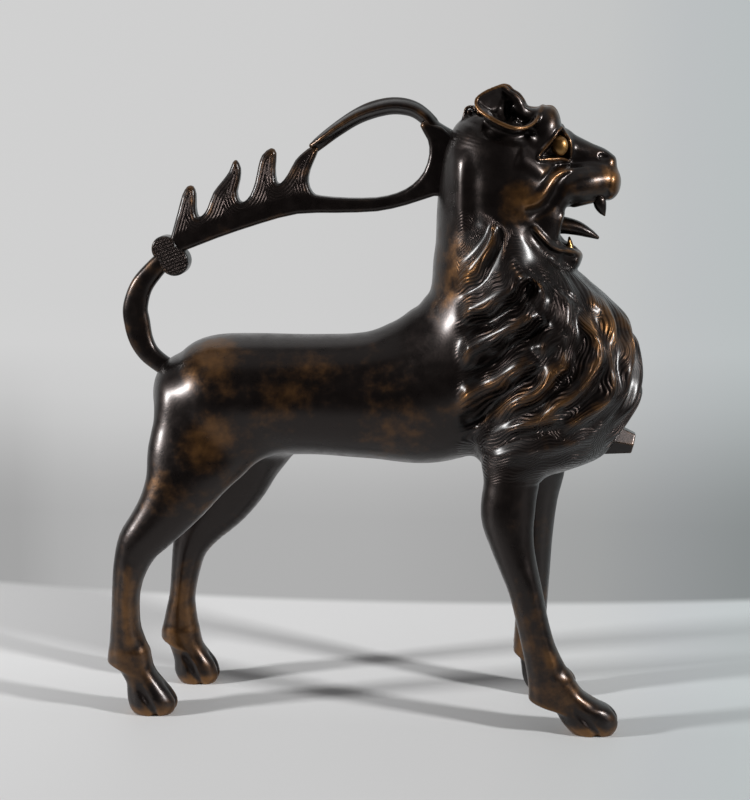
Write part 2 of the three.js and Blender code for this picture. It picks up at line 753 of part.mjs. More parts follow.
// The tail rises from the rump in a half circle to the knot where the handle starts
const tailHalf = tailThickness / 2;
const tailStations = [
  [-100, 176, 0, 4.6, tailHalf],
  [-109, 179.8, 0, 4.8, tailHalf],
  [-116.2, 185.8, 0, 5.4, tailHalf],
  [-120, 192.8, 0, 6.2, tailHalf],
  [-121.8, 201, 0, 6.7, tailHalf],
  [-122.5, 209.5, 0, 6.4, tailHalf],
  [-118.8, 220.6, 0, 5.7, tailHalf],
  [-110.4, 230.8, 0, 5, tailHalf],
  [-104.6, 236.2, 0, 4.4, tailHalf],
];

// Two bevelled round lobes side by side make the knot
const knotLobes = [[-105.9, 239.8, 6.7], [-101, 233.6, 7.5]];
const knotBevel = 1.4;
function knot(grow = 0) {
  const lobes = knotLobes.map(([x, z, radius]) => {
    const half = knotThickness / 2 + grow;
    const edge = radius + grow;
    const bevelled = [[edge - knotBevel, half], [edge, half - knotBevel]];
    const lower = bevelled.map(([across, high]) => [across, -high]);
    const profile = [[0, -half], ...lower, ...bevelled.reverse(), [0, half]];
    const geometry = new THREE.LatheGeometry(profile.map(([r, y]) => new THREE.Vector2(r, y)), 16);
    geometry.translate(...at(x, 0, z));
    return solid(geometry);
  });
  return join(...lobes);
}

function tail() {
  return loft(tailStations, { sides: 8, steps: 2, square: 3 }).subtract(join(vesselGrown, knot(seam)));
}

// The handle: a bar from the knot to the neck, with four flame tufts on it
const barHalf = barThickness / 2;
const tuftThin = 0.86;
const barStations = [
  [-104, 240, 0, 4.6, barHalf],
  [-97, 244.8, 0, 5.4, barHalf],
  [-86, 249.4, 0, 5.9, barHalf],
  [-68, 256.4, 0, 6, barHalf],
  [-48, 261.8, 0, 6.2, barHalf],
  [-28, 263.4, 0, 4.6, barHalf],
  [-4, 262.9, 0, 3.6, barHalf],
  [12, 264.3, 0, 3.7, barHalf],
  [22, 268.6, 0, 4.4, barHalf + 0.6],
  [29.6, 276, 0, 4.8, barHalf + 1.4],
  [33.4, 286, 0, 4.8, barHalf + 2],
  [35.4, 295, 0, 5.4, barHalf + 2.4],
];
const tuftSpines = [
  [[-95, 247, 7.4], [-94.3, 257, 5.2], [-93.6, 265, 3.7], [-92.9, 269.6, 2.3], [-92.6, 272.2, 0.7]],
  [
    [-79, 252, 10.4], [-76.4, 261, 7.8], [-74.2, 268.4, 6],
    [-71.2, 275, 4.2], [-69.4, 280.4, 2.7], [-68.4, 284.8, 0.7],
  ],
  [
    [-57.5, 257, 9.5], [-55.4, 267, 7], [-53.8, 275, 5.2],
    [-53.1, 282, 4.3], [-51.8, 287.4, 3.2], [-50.4, 291.2, 0.8],
  ],
  [
    [-41, 263, 9.6], [-39.4, 271.6, 7.6], [-37.2, 278, 5.6],
    [-34.2, 284.2, 4.4], [-31.4, 288.4, 3], [-28.6, 291.3, 1],
  ],
];
function handleBar() {
  const bar = loft(barStations, { sides: 8, steps: 1, square: 2.6 });
  const tufts = tuftSpines.map((spine) => {
    const stations = spine.map(([x, z, half]) => [x, z, 0, half, Math.min(half, barHalf) * tuftThin]);
    return loft(stations, { sides: 8, steps: 1, square: 2.6 });
  });
  const neckFoot = loft([[20, 266, 0, 4, barHalf], [40, 270, 0, 7, barHalf + 1]], { sides: 10, steps: 1 });
  return join(bar, neckFoot, ...tufts);
}

// A leaf-shaped strap with a ridge along it closes the ring from the last tuft to the neck
const strapHalf = strapWidth / 2;
const strapStations = [
  [-28.3, 292.6, 0, 1.1, 0.2 * strapHalf],
  [-24.5, 295.2, 0, 1.8, 0.42 * strapHalf],
  [-17, 300.6, 0, 2.6, 0.72 * strapHalf],
  [-5.5, 307, 0, 3.4, 0.95 * strapHalf],
  [8.5, 311, 0, 3.9, strapHalf],
  [19.5, 310.6, 0, 3.8, strapHalf],
  [26.6, 306, 0, 3.6, 0.92 * strapHalf],
  [31.4, 299.6, 0, 3.8, 0.86 * strapHalf],
  [40, 293.5, 0, 4.4, 0.86 * strapHalf],
];
const strap = (grow = 0) => loft(strapStations, { sides: 10, steps: 1, square: 1.5, grow });

// The spout: a six-sided socket that narrows to its mouth, bored through into the chest
const spoutMouth = at(133.4, 0, 143.4);
function alongSpout(mouthAcross, rootAcross, length, sides, ahead = 0) {
  const geometry = new THREE.CylinderGeometry(mouthAcross / 2, rootAcross / 2, length, sides);
  geometry.translate(0, ahead - length / 2, 0);
  geometry.rotateZ(-Math.PI / 2);
  geometry.rotateY(THREE.MathUtils.degToRad(spoutDip));
  geometry.translate(...spoutMouth);
  return solid(geometry);
}
const spoutBody = alongSpout(spoutMouthAcross, spoutRootAcross, spoutLength, 6);
const spoutWay = alongSpout(spoutBore, spoutBore, 3 * spoutLength, 16, 2);

// Every piece of the casting, then the pieces fitted to it
const head = headShell();
const besideHead = (shape) => shape.subtract(vesselGrown);
const shell = vessel.subtract(cavity);
piece("torso_shell", backPart(backPart(shell, maneBorder), headBorder));
piece("mane_shell", backPart(frontPart(shell, maneBorder), headBorder).subtract(spoutWay));
piece("head_shell", head);
piece("lower_jaw", besideHead(lowerJaw()).subtract(mouthCorners(seam)));
piece("tongue", besideHead(tongue));
for (const [name, side] of [["right", -1], ["left", 1]]) {
  piece(`ear_${name}`, ear(side));
  piece(`eye_${name}`, eyeball(side), brass);
  piece(`upper_fang_${name}`, upperFang(side).subtract(muzzle(seam)));
  piece(`lower_fang_${name}`, lowerFang(side).subtract(lowerJaw(seam)), brass);
}
piece("filler_lid", fillerLid());
piece("lid_hinge_pin", rodAcross(hinge, hingePinDiameter, hingePinLength));
piece("foreleg_right", leg(foreRight));
piece("foreleg_left", leg(foreLeft));
piece("hindleg_right", leg(hindRight));
piece("hindleg_left", leg(hindLeft));
piece("tail", tail());
piece("tail_knot", knot());
piece("handle_bar", handleBar().subtract(join(vesselGrown, strap(seam), knot(seam))));
piece("handle_strap", strap().subtract(vesselGrown));
piece("spout", spoutBody.subtract(spoutWay).subtract(vesselGrown));

// Stand the lion on z = 0 with its box centred in x and y
const bounds = new THREE.Box3().setFromObject(model);
const centre = bounds.getCenter(new THREE.Vector3());
model.position.set(-centre.x, -centre.y, -bounds.min.z);
model.updateMatrixWorld(true);

export default model;
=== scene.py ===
# A lion aquamanile in cast bronze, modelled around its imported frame.
# Shapes are written in millimetres in the lion's own frame: it faces +X, its left side is +Y,
# and it stands on z = 0. Its surfaces are closed distance fields, meshed on a fine grid.
import itertools
import math
from concurrent.futures import ThreadPoolExecutor

import bpy
import numpy as np
from mathutils import Matrix, Vector


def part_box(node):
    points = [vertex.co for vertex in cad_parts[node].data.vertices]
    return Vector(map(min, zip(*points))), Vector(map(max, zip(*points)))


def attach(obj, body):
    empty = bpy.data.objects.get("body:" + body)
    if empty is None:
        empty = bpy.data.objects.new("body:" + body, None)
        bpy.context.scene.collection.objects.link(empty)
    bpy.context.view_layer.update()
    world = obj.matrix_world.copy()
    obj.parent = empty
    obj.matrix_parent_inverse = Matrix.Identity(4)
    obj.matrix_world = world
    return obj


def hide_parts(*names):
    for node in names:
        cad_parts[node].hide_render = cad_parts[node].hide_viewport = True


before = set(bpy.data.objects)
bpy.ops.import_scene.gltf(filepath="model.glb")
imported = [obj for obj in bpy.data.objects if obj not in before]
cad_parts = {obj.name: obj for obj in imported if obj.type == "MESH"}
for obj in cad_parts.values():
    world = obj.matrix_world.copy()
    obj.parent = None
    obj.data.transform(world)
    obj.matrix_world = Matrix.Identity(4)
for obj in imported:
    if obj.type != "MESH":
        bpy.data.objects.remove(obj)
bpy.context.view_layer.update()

# The hinge pin's place ties the lion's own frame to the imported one, which lies ahead by the shift

MM = 0.001
HINGE = (49.1, 0.0, 309.3)
pin_low, pin_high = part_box("lid_hinge_pin")
SHIFT = (pin_low.x + pin_high.x) / 2 / MM - HINGE[0]


def to_scene(points):
    """Points in the lion's millimetres as points in the frame's metres."""
    return (np.asarray(points, float) + (SHIFT, 0, 0)) * MM


# Smooth curves and distance fields


def refine(rows, steps):
    """Rows on a smooth curve through the given ones."""
    rows = np.asarray(rows, float)
    ends = np.vstack([rows[:1], rows, rows[-1:]])
    t = np.arange(steps)[:, None] / steps
    out = []
    for a, b, c, d in zip(ends, ends[1:], ends[2:], ends[3:]):
        in1, in2 = (c - a) / 2, (d - b) / 2
        cubic = (2 * b - 2 * c + in1 + in2) * t**3
        square = (3 * c - 3 * b - 2 * in1 - in2) * t**2
        out.append(cubic + square + in1 * t + b)
    return np.vstack([*out, rows[-1:]])


def closed_curve(rows, steps):
    """Rows on a smooth closed curve through the given ones."""
    rows = np.asarray(rows, float)
    ring = np.vstack([rows[-1:], rows, rows[:2]])
    return refine(ring, steps)[steps : -steps - 1]


def blend(a, b, k):
    """Two fields joined, with a fillet about k wide."""
    h = np.maximum(k - np.abs(a - b), 0) / k
    return np.minimum(a, b) - h * h * k / 4


def carve(a, b, k):
    """Field b cut out of field a, with an edge rounded about k wide."""
    return -blend(-a, b, k)


def meet(a, b, k):
    """What is in both fields, with an edge rounded about k wide."""
    return -blend(-a, -b, k)


def both(a, b):
    """What is in both fields, with a true distance past their shared corner."""
    return np.hypot(np.maximum(a, 0), np.maximum(b, 0)) + np.minimum(np.maximum(a, b), 0)


def smoothstep(low, high, value):
    """From 0 to 1 as a value goes from low to high, which may lie below low."""
    t = np.clip((value - low) / (high - low), 0, 1)
    return t * t * (3 - 2 * t)


def along(points, path):
    """The nearest segment of a path to each point, how far along it, and the squared distance."""
    best = np.full(len(points), np.inf)
    index = np.zeros(len(points), int)
    share = np.zeros(len(points))
    columns = [points[:, i] for i in range(points.shape[1])]
    for i, (a, b) in enumerate(zip(path, path[1:])):
        run = b - a
        off = [column - start for column, start in zip(columns, a)]
        t = np.clip(sum(o * r for o, r in zip(off, run)) / max(run @ run, 1e-9), 0, 1)
        gap = sum((o - t * r) ** 2 for o, r in zip(off, run))
        closer = gap < best
        best = np.where(closer, gap, best)
        index = np.where(closer, i, index)
        share = np.where(closer, t, share)
    return index, share, best


class Form:
    """A closed form with a box around it, outside which its field is the distance to the box."""

    margin = 14.0

    def set_box(self, low, high):
        self.low = np.asarray(low, float)
        self.high = np.asarray(high, float)

    def __call__(self, points):
        outside = np.maximum(np.maximum(self.low - points, points - self.high), 0)
        out = np.sqrt((outside**2).sum(1))
        near = out < self.margin
        if near.any():
            out[near] = self.field(points[near])
        return out


# How far a limb's rounded ends reach, as a share of its lesser half width there

CAP_SHARE = 0.7


class Sweep(Form):
    """A limb through stations of x, z, y, half depth in the side view and half width across."""

    def __init__(self, stations, steps=4, square=2.0, level=False):
        self.rows = refine(stations, steps)
        self.square = square
        self.level = level
        x, z, y, deep, wide = self.rows.T
        size = np.maximum(deep, wide)
        self.set_box(
            [(x - size).min(), (y - wide).min(), (z - size).min()],
            [(x + size).max(), (y + wide).max(), (z + size).max()],
        )
        run = np.gradient(np.hypot(np.gradient(x), np.gradient(z)).cumsum())
        self.slope = np.sqrt(1 + np.minimum((np.gradient(deep) / np.maximum(run, 1e-3)) ** 2, 6))

    def field(self, points):
        path = self.rows[:, :2]
        flat = points[:, [0, 2]]
        last = len(path) - 2
        if self.level:
            z = self.rows[:, 1]
            index = np.clip(np.searchsorted(z, flat[:, 1]) - 1, 0, last)
            share = np.clip((flat[:, 1] - z[index]) / (z[index + 1] - z[index]), 0, 1)
        else:
            index, share, _ = along(flat, path)
        mix = share[:, None]
        x, z, y, deep, wide = (self.rows[index] * (1 - mix) + self.rows[index + 1] * mix).T
        run = path[index + 1] - path[index]
        run = run / np.linalg.norm(run, axis=1)[:, None]
        if self.level:
            run = np.broadcast_to([0.0, 1.0], run.shape)
        off = flat - np.stack([x, z], 1)
        beyond = (off * run).sum(1)
        high = off[:, 1] * run[:, 0] - off[:, 0] * run[:, 1]
        inside = (index > 0) & (index < last) | (share > 0) & (share < 1)
        if not self.level:
            high = np.where(inside, np.copysign(np.hypot(high, beyond), high), high)
        beyond = np.where(inside, 0, beyond)
        n = self.square
        a = np.abs(high / deep) + 1e-6
        b = np.abs((points[:, 1] - y) / wide) + 1e-6
        rise = (a**n + b**n) ** (1 / n)
        steep = rise ** (1 - n) * np.hypot(a ** (n - 1) / deep, b ** (n - 1) / wide)
        cap = np.minimum(deep, wide) * CAP_SHARE
        whole = np.hypot(rise, beyond / cap)
        slope = self.slope[index] * (1 - share) + self.slope[index + 1] * share
        return (whole - 1) * whole / np.hypot(rise * steep * slope, beyond / cap**2)


class Tube(Form):
    """A round rope through rows of x, y, z and radius."""

    def __init__(self, rows, steps=4):
        self.rows = refine(rows, steps)
        reach = self.rows[:, 3:4]
        self.set_box((self.rows[:, :3] - reach).min(0), (self.rows[:, :3] + reach).max(0))

    def field(self, points):
        index, share, gap = along(points, self.rows[:, :3])
        radius = self.rows[index, 3] * (1 - share) + self.rows[index + 1, 3] * share
        return np.sqrt(gap) - radius


def turned(x=0.0, y=0.0, z=0.0):
    """A turn by angles in degrees about the x, then y, then z axis."""
    about_x, about_y, about_z = (
        Matrix.Rotation(math.radians(angle), 3, axis) for angle, axis in ((x, "X"), (y, "Y"), (z, "Z"))
    )
    return np.array(about_z @ about_y @ about_x)


class Egg(Form):
    """An ellipsoid by its middle, half sizes and turn."""

    def __init__(self, middle, radii, turn=None):
        self.middle = np.asarray(middle, float)
        self.radii = np.asarray(radii, float)
        self.turn = np.eye(3) if turn is None else turn
        reach = np.sqrt(((self.turn * self.radii) ** 2).sum(1))
        self.set_box(self.middle - reach, self.middle + reach)

    def field(self, points):
        local = (points - self.middle) @ self.turn
        near = np.linalg.norm(local / self.radii, axis=1)
        steep = np.linalg.norm(local / self.radii**2, axis=1)
        return near * (near - 1) / np.maximum(steep, 1e-6)


def outline_gap(flat, outline):
    """Distance of flat points to a closed outline, negative inside."""
    path = np.vstack([outline, outline[:1]])
    _, _, gap = along(flat, path)
    inside = np.zeros(len(flat), bool)
    x, y = flat.T
    for (x1, y1), (x2, y2) in zip(path, path[1:]):
        if y1 != y2:
            crosses = ((y1 > y) != (y2 > y)) & (x < (x2 - x1) * (y - y1) / (y2 - y1) + x1)
            inside ^= crosses
    return np.where(inside, -1, 1) * np.sqrt(gap)


class Plate(Form):
    """A side-view outline made thick across the lion, with rounded edges."""

    def __init__(self, outline, half, edge, across=0.0, steps=3):
        self.outline = closed_curve(outline, steps)
        self.half = half if callable(half) else lambda flat: half
        self.edge = edge
        self.across = across
        (x1, z1), (x2, z2) = self.outline.min(0), self.outline.max(0)
        widest = np.max(self.half(np.asarray(outline, float)))
        self.set_box([x1, across - widest, z1], [x2, across + widest, z2])

    def field(self, points):
        flat = points[:, [0, 2]]
        gap = outline_gap(flat, self.outline) + self.edge
        thick = np.abs(points[:, 1] - self.across) - self.half(flat) + self.edge
        return both(gap, thick) - self.edge


class Rod(Form):
    """A round bar across the lion with rounded ends, by its x, z, radius and half length."""

    def __init__(self, x, z, radius, half, edge=0.4):
        self.spot = (x, z)
        self.size = (radius, half, edge)
        self.set_box((x - radius, -half, z - radius), (x + radius, half, z + radius))

    def field(self, points):
        radius, half, edge = self.size
        around = np.hypot(points[:, 0] - self.spot[0], points[:, 2] - self.spot[1]) - radius + edge
        past = np.abs(points[:, 1]) - half + edge
        return both(around, past) - edge


class Slab(Form):
    """A block with rounded edges by its middle and half sizes."""

    def __init__(self, middle, half, edge):
        self.middle = np.asarray(middle, float)
        self.inner = np.asarray(half, float) - edge
        self.edge = edge
        self.set_box(self.middle - half, self.middle + half)

    def field(self, points):
        off = np.abs(points - self.middle) - self.inner
        outer = np.sqrt((np.maximum(off, 0) ** 2).sum(1))
        return outer + np.minimum(off.max(1), 0) - self.edge


def hill(u):
    """A smooth hill, one high and two wide."""
    return np.maximum(1 - u * u, 0) ** 2


# A ridge tapers over these shares of its run, and its hollow lies this far beyond its right edge

TAPER_START, TAPER_END = (-0.03, 0.2), (1.03, 0.8)
HOLLOW_OFF, HOLLOW_HALF = 1.5, 4.2
NO_RIDGE = 60.0


def draw(flat, ridges):
    """The height of drawn ridges at flat points, and the distance to the nearest ridge.

    A ridge is its height (less than 0 for a groove), its widths to the left and right of its run,
    the depth of the hollow on its right, and its rows.
    """
    crest = np.zeros(len(flat))
    dip = np.zeros(len(flat))
    nearest = np.full(len(flat), NO_RIDGE)
    for height, left, right, hollow, rows in ridges:
        path = refine(rows, 4)
        index, share, gap = along(flat, path)
        gap = np.sqrt(gap)
        run = path[index + 1] - path[index]
        off = flat - path[index]
        side = run[:, 0] * off[:, 1] - run[:, 1] * off[:, 0]
        t = (index + share) / (len(path) - 1)
        taper = smoothstep(*TAPER_START, t) * smoothstep(*TAPER_END, t)
        shape = taper * hill(gap / np.where(side > 0, left, right))
        if height > 0:
            crest = (crest**4 + (height * shape) ** 4) ** 0.25
        else:
            dip = np.maximum(dip, -height * shape)
        beside = hollow * taper * hill((gap - right - HOLLOW_OFF) / HOLLOW_HALF)
        dip = np.maximum(dip, np.where(side < 0, beside, 0))
        nearest = np.minimum(nearest, gap)
    return crest - dip, nearest


def softened(values, passes):
    """A flat map of values, each averaged with its neighbours as often as passes says."""
    for _ in range(passes):
        for axis in (0, 1):
            ends = np.concatenate([values.take([0], axis), values, values.take([-1], axis)], axis)
            before = ends.take(range(0, values.shape[axis]), axis)
            after = ends.take(range(2, values.shape[axis] + 2), axis)
            values = (before + 2 * values + after) / 4
    return values


class Relief:
    """Values drawn once on a flat map in millimetres, then looked up between its points."""

    def __init__(self, low, high, step, drawing, passes=0):
        self.low = np.asarray(low, float)
        self.step = step
        across = np.arange(low[0], high[0] + step, step)
        up = np.arange(low[1], high[1] + step, step)
        self.shape = (len(across), len(up))
        flat = np.stack(np.meshgrid(across, up, indexing="ij"), -1).reshape(-1, 2)
        self.layers = [layer.reshape(self.shape) for layer in drawing(flat)]
        self.layers[0] = softened(self.layers[0], passes)

    def __call__(self, flat, layer=0):
        at = (flat - self.low) / self.step
        at = np.clip(at, 0, np.array(self.shape) - 1.001)
        i, j = np.floor(at).astype(int).T
        u, v = (at - np.floor(at)).T
        value = self.layers[layer]
        low = value[i, j] * (1 - u) + value[i + 1, j] * u
        high = value[i, j + 1] * (1 - u) + value[i + 1, j + 1] * u
        return low * (1 - v) + high * v


def right_side(points):
    """Points mirrored onto the lion's right side, where the paired forms are written."""
    return points * (1, 0, 1) - np.abs(points[:, 1:2]) * (0, 1, 0)


# Meshing


def in_blocks(field, points, size=40000):
    """A field of many points, worked out on all cores."""
    blocks = [points[i : i + size] for i in range(0, len(points), size)]
    with ThreadPoolExecutor() as pool:
        return np.concatenate(list(pool.map(field, blocks))) if blocks else np.zeros(0)


def grid_points(axes, keep):
    """The points of a grid that are to be kept."""
    where = np.nonzero(keep)
    return np.stack([axis[i] for axis, i in zip(axes, where)], 1)


def sample(field, axes):
    """A field on a grid, worked out in full only near its surface."""
    value = None
    for step in (4, 2, 1):
        coarse = [axis[::step] for axis in axes]
        shape = tuple(len(axis) for axis in coarse)
        if value is None:
            fresh, keep = np.zeros(shape), np.ones(shape, bool)
        else:
            fresh = value
            for k in range(3):
                fresh = np.repeat(fresh, 2, axis=k)
            fresh = fresh[: shape[0], : shape[1], : shape[2]].copy()
            spans = np.meshgrid(*[np.gradient(axis) for axis in coarse], indexing="ij", sparse=True)
            keep = np.abs(fresh) < 2.5 * np.sqrt(sum(span**2 for span in spans))
        fresh[keep] = in_blocks(field, grid_points(coarse, keep))
        value = fresh
    return value


def surface(value, axes):
    """Corners and four-sided faces of the surface of a field on a grid."""
    inside = value < 0
    shape = tuple(n - 1 for n in value.shape)
    corner = list(itertools.product((0, 1), repeat=3))

    def view(array, c):
        return array[c[0] : c[0] + shape[0], c[1] : c[1] + shape[1], c[2] : c[2] + shape[2]]

    count = sum(view(inside, c).astype(np.int8) for c in corner)
    cell = (count > 0) & (count < 8)
    where = np.stack(np.nonzero(cell), 1)
    number = np.full(shape, -1)
    number[cell] = np.arange(len(where))
    at = {c: value[tuple((where + c).T)] for c in corner}
    low = np.stack([axis[i] for axis, i in zip(axes, where.T)], 1)
    size = np.stack([np.diff(axis)[i] for axis, i in zip(axes, where.T)], 1)
    total = np.zeros((len(where), 3))
    hits = np.zeros(len(where))
    for c in corner:
        for k in range(3):
            if c[k]:
                continue
            d = tuple(1 if i == k else c[i] for i in range(3))
            a, b = at[c], at[d]
            cross = (a < 0) != (b < 0)
            t = np.where(cross, a / np.where(cross, a - b, 1), 0)
            spot = np.tile(np.array(c, float), (len(where), 1))
            spot[:, k] = t
            total += spot * cross[:, None]
            hits += cross
    points = low + size * total / hits[:, None]
    faces = []
    for k in range(3):
        i, j = (k + 1) % 3, (k + 2) % 3
        head = [slice(1, n - 1) for n in value.shape]
        head[k] = slice(0, value.shape[k] - 1)
        ahead = list(head)
        ahead[k] = slice(1, value.shape[k])
        a, b = inside[tuple(head)], inside[tuple(ahead)]
        for forward in (True, False):
            cross = (a & ~b) if forward else (~a & b)
            base = np.stack(np.nonzero(cross), 1)
            base += [1 if axis != k else 0 for axis in range(3)]
            step_i, step_j = np.zeros(3, int), np.zeros(3, int)
            step_i[i], step_j[j] = 1, 1
            ring = [base - step_i - step_j, base - step_j, base, base - step_i]
            quad = np.stack([number[tuple(p.T)] for p in ring], 1)
            faces.append(quad if forward else quad[:, ::-1])
    return points, np.concatenate(faces)


def slopes(field, points, step=0.15):
    """Values and gradients of a field, by four tilted steps."""
    tilt = np.array([[1, -1, -1], [-1, -1, 1], [-1, 1, -1], [1, 1, 1]], float)
    values = [in_blocks(field, points + t * step) for t in tilt]
    gradient = sum(v[:, None] * t for v, t in zip(values, tilt)) / (4 * step)
    return sum(values) / 4, gradient


def settle(field, points, passes=2):
    """Moves points onto the surface of a field."""
    for _ in range(passes):
        value, gradient = slopes(field, points)
        length = np.maximum((gradient**2).sum(1), 0.05)
        points = points - gradient * (np.clip(value, -1, 1) / length)[:, None]
    return points


def fine(step):
    return step


def graded_axis(*stops):
    """A grid axis whose step changes at given places: place, step, place, step, place."""
    parts = []
    for low, step, high in zip(stops[::2], stops[1::2], stops[2::2]):
        count = max(int(round((high - low) / fine(step))), 1)
        parts.append(np.linspace(low, high, count, endpoint=False))
    return np.append(np.concatenate(parts), stops[-1])


def block_axes(low, high, step):
    """Grid axes of a block between two corners, with one step or a step for each axis."""
    steps = np.broadcast_to(fine(np.asarray(step)), 3)
    return [np.arange(start, end + size, size) for start, end, size in zip(low, high, steps)]


def box_axes(form, step):
    """Grid axes round one form."""
    return block_axes(form.low - 2 * step, form.high + 2 * step, step)


def add_object(name, data):
    """An object with its data, put in the scene."""
    made = bpy.data.objects.new(name, data)
    bpy.context.collection.objects.link(made)
    return made


def mesh_object(name, points, faces, attributes):
    """An object of smooth four-sided faces, with a value of each attribute at each point."""
    mesh = bpy.data.meshes.new(name)
    mesh.vertices.add(len(points))
    mesh.vertices.foreach_set("co", to_scene(points).astype(np.float32).ravel())
    mesh.loops.add(faces.size)
    mesh.loops.foreach_set("vertex_index", faces.astype(np.int32).ravel())
    mesh.polygons.add(len(faces))
    mesh.polygons.foreach_set("loop_start", np.arange(0, faces.size, 4, dtype=np.int32))
    mesh.polygons.foreach_set("use_smooth", np.ones(len(faces), bool))
    for key, values in attributes.items():
        layer = mesh.attributes.new(key, "FLOAT", "POINT")
        layer.data.foreach_set("value", np.asarray(values, np.float32))
    mesh.update()
    mesh.validate()
    return add_object(name, mesh)


def evened(points, faces, passes):
    """Points averaged with their neighbours along the faces' edges."""
    a = faces.ravel()
    b = np.roll(faces, -1, axis=1).ravel()
    count = len(points)
    share = np.maximum(np.bincount(a, minlength=count) + np.bincount(b, minlength=count), 1)
    out = []
    for column in points.T:
        for _ in range(passes):
            total = np.bincount(a, column[b], count) + np.bincount(b, column[a], count)
            column = (column + total / share) / 2
        out.append(column)
    return np.stack(out, 1)


# Passes of averaging for fine edges, for raised places and for calm skin

EDGE_PASSES = 6
RAISED_PASSES = 60
CALM_PASSES = 30


def cast(name, field, axes, extra=None, calm=None):
    """A piece of bronze from its field, with measures of how far its places stand proud, in millimetres."""
    points, faces = surface(sample(field, axes), axes)
    points = settle(field, points)
    if calm:
        points += calm(points)[:, None] * (evened(points, faces, CALM_PASSES) - points)
    _, gradient = slopes(field, points)
    normal = gradient / np.linalg.norm(gradient, axis=1)[:, None]
    attributes = {
        key: ((points - evened(points, faces, passes)) * normal).sum(1)
        for key, passes in (("edge", EDGE_PASSES), ("raised", RAISED_PASSES))
    }
    if extra:
        attributes.update(extra(points))
    return mesh_object(name, points, faces, attributes)


def make(name, field, axes, slot, body_name="vessel", nodes=None, **more):
    """Casts a piece and puts it on its body, in its material slot, in place of its nodes."""
    piece = cast(name, field, axes, **more)
    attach(piece, body_name)
    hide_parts(*(nodes or [name]))
    pieces.append((piece, slot))


pieces = []

# Barrel, neck and chest: x, z, y, half depth, half width

BODY = [
    [-95.4, 160.8, 0, 24.4, 27.2],
    [-92, 161.8, 0, 25.9, 29],
    [-80, 164.2, 0, 31, 33.5],
    [-58, 164.9, 0, 31.6, 33],
    [-30, 165.5, 0, 31, 30.5],
    [0, 165.6, 0, 32.8, 29.5],
    [30, 169.2, 0, 38, 31],
    [55, 184.5, 0, 39, 32.5],
    [65.2, 213, 0, 34.4, 32],
    [62.9, 238, 0, 30.7, 30],
    [62.8, 258, 0, 30.2, 28.5],
    [63, 276, 0, 29, 28.5],
    [65, 290, 0, 27.5, 27],
    [67.5, 299, 0, 23.5, 23.5],
    [69, 304, 0, 19, 19.5],
    [69.5, 307, 0, 12, 13],
]
MANE = [
    [77.5, 127.5, 0, 11, 14],
    [79, 129.6, 0, 18.5, 24],
    [82, 134, 0, 27, 33],
    [86.2, 139, 0, 33, 38],
    [88.3, 147, 0, 36.8, 41.6],
    [90.2, 158, 0, 40.5, 44],
    [92, 168, 0, 43, 44.8],
    [92, 182, 0, 43.3, 44.8],
    [89, 200, 0, 41.5, 42.8],
    [82.6, 216, 0, 38, 39.6],
    [74.4, 229, 0, 31, 36],
    [69.8, 237, 0, 26.5, 33],
    [68, 246, 0, 23, 31],
    [67, 256, 0, 19, 28],
]
body = Sweep(BODY, steps=8)
mane = Sweep(MANE, steps=6, level=True)
nape = Tube([(18, 0, 192, 9), (30, 0, 200.5, 10), (42, 0, 214, 10), (46, 0, 230, 9)])

# Locks of the mane

# They are drawn on its unrolled right side, in degrees from the front and height:
# ridge height, widths above and below, hollow below, rows

MANE_RADIUS = 44.0
MANE_DEPTH = 1.8
LOCK_SPREAD = 1.2
STRAND_PITCH = 1.6
STRAND_WAVE = 0.9
LOCKS = [
    (1.4, 6, 4, 0.8, [(100, 258), (104, 249), (114, 241), (131, 232), (158, 224)]),
    (2.6, 8.5, 3.6, 2.6, [(78, 234), (86, 231), (100, 225), (126, 216), (150, 209)]),
    (2.9, 8.5, 3.8, 2.8, [(86, 216), (99, 211), (112, 206), (129, 199), (150, 186)]),
    (2.2, 6, 5, 0.6, [(55, 224), (68, 217), (76, 208), (90, 200), (97, 193)]),
    (2.5, 8, 3.8, 2.4, [(97, 194), (114, 186), (130, 178), (147, 168), (162, 157)]),
    (2.0, 6, 4, 1.2, [(65, 210), (78, 200), (82, 191), (89, 186), (99, 177), (116, 169), (133, 158)]),
    (2.7, 4.5, 5, 0.8, [(58, 213), (56, 204), (57, 194), (65, 186), (75, 177), (88, 170), (98, 161)]),
    (2.4, 5, 5, 1.0, [
        (18, 223), (30, 215), (37, 207), (46, 198), (50, 188), (51, 176), (61, 168), (80, 158),
    ]),
    (2.2, 5, 5, 1.0, [(6, 215), (17, 204), (25, 193), (35, 183), (41, 173), (52, 163)]),
    (1.5, 4, 4, 0, [(70, 231), (76, 223), (89, 214)]),
    (2.4, 4, 4, 0, [(60, 227), (63, 220), (70, 212), (75, 206)]),
    (1.8, 5, 4, 0.6, [(2, 203), (9, 191), (15, 180), (24, 170), (36, 158)]),
    (1.4, 5, 4, 0.6, [(3, 176), (12, 166), (22, 156), (36, 148)]),
    (1.6, 6, 4, 1.0, [(78, 166), (95, 163), (112, 159), (128, 153), (142, 148)]),
    (1.2, 5, 4, 0.5, [(53, 153), (75, 150), (97, 146), (118, 143), (136, 142)]),
    (1.6, 5, 5, 0.6, [(38, 236), (46, 228), (56, 222)]),
    (1.4, 5, 5, 0.4, [(14, 236), (24, 229), (34, 222), (42, 214)]),
    (1.5, 4, 4, 0, [(139, 246), (149, 241), (148, 234)]),
    (1.3, 4, 4, 0, [(82, 190), (87, 187), (85, 183)]),
]


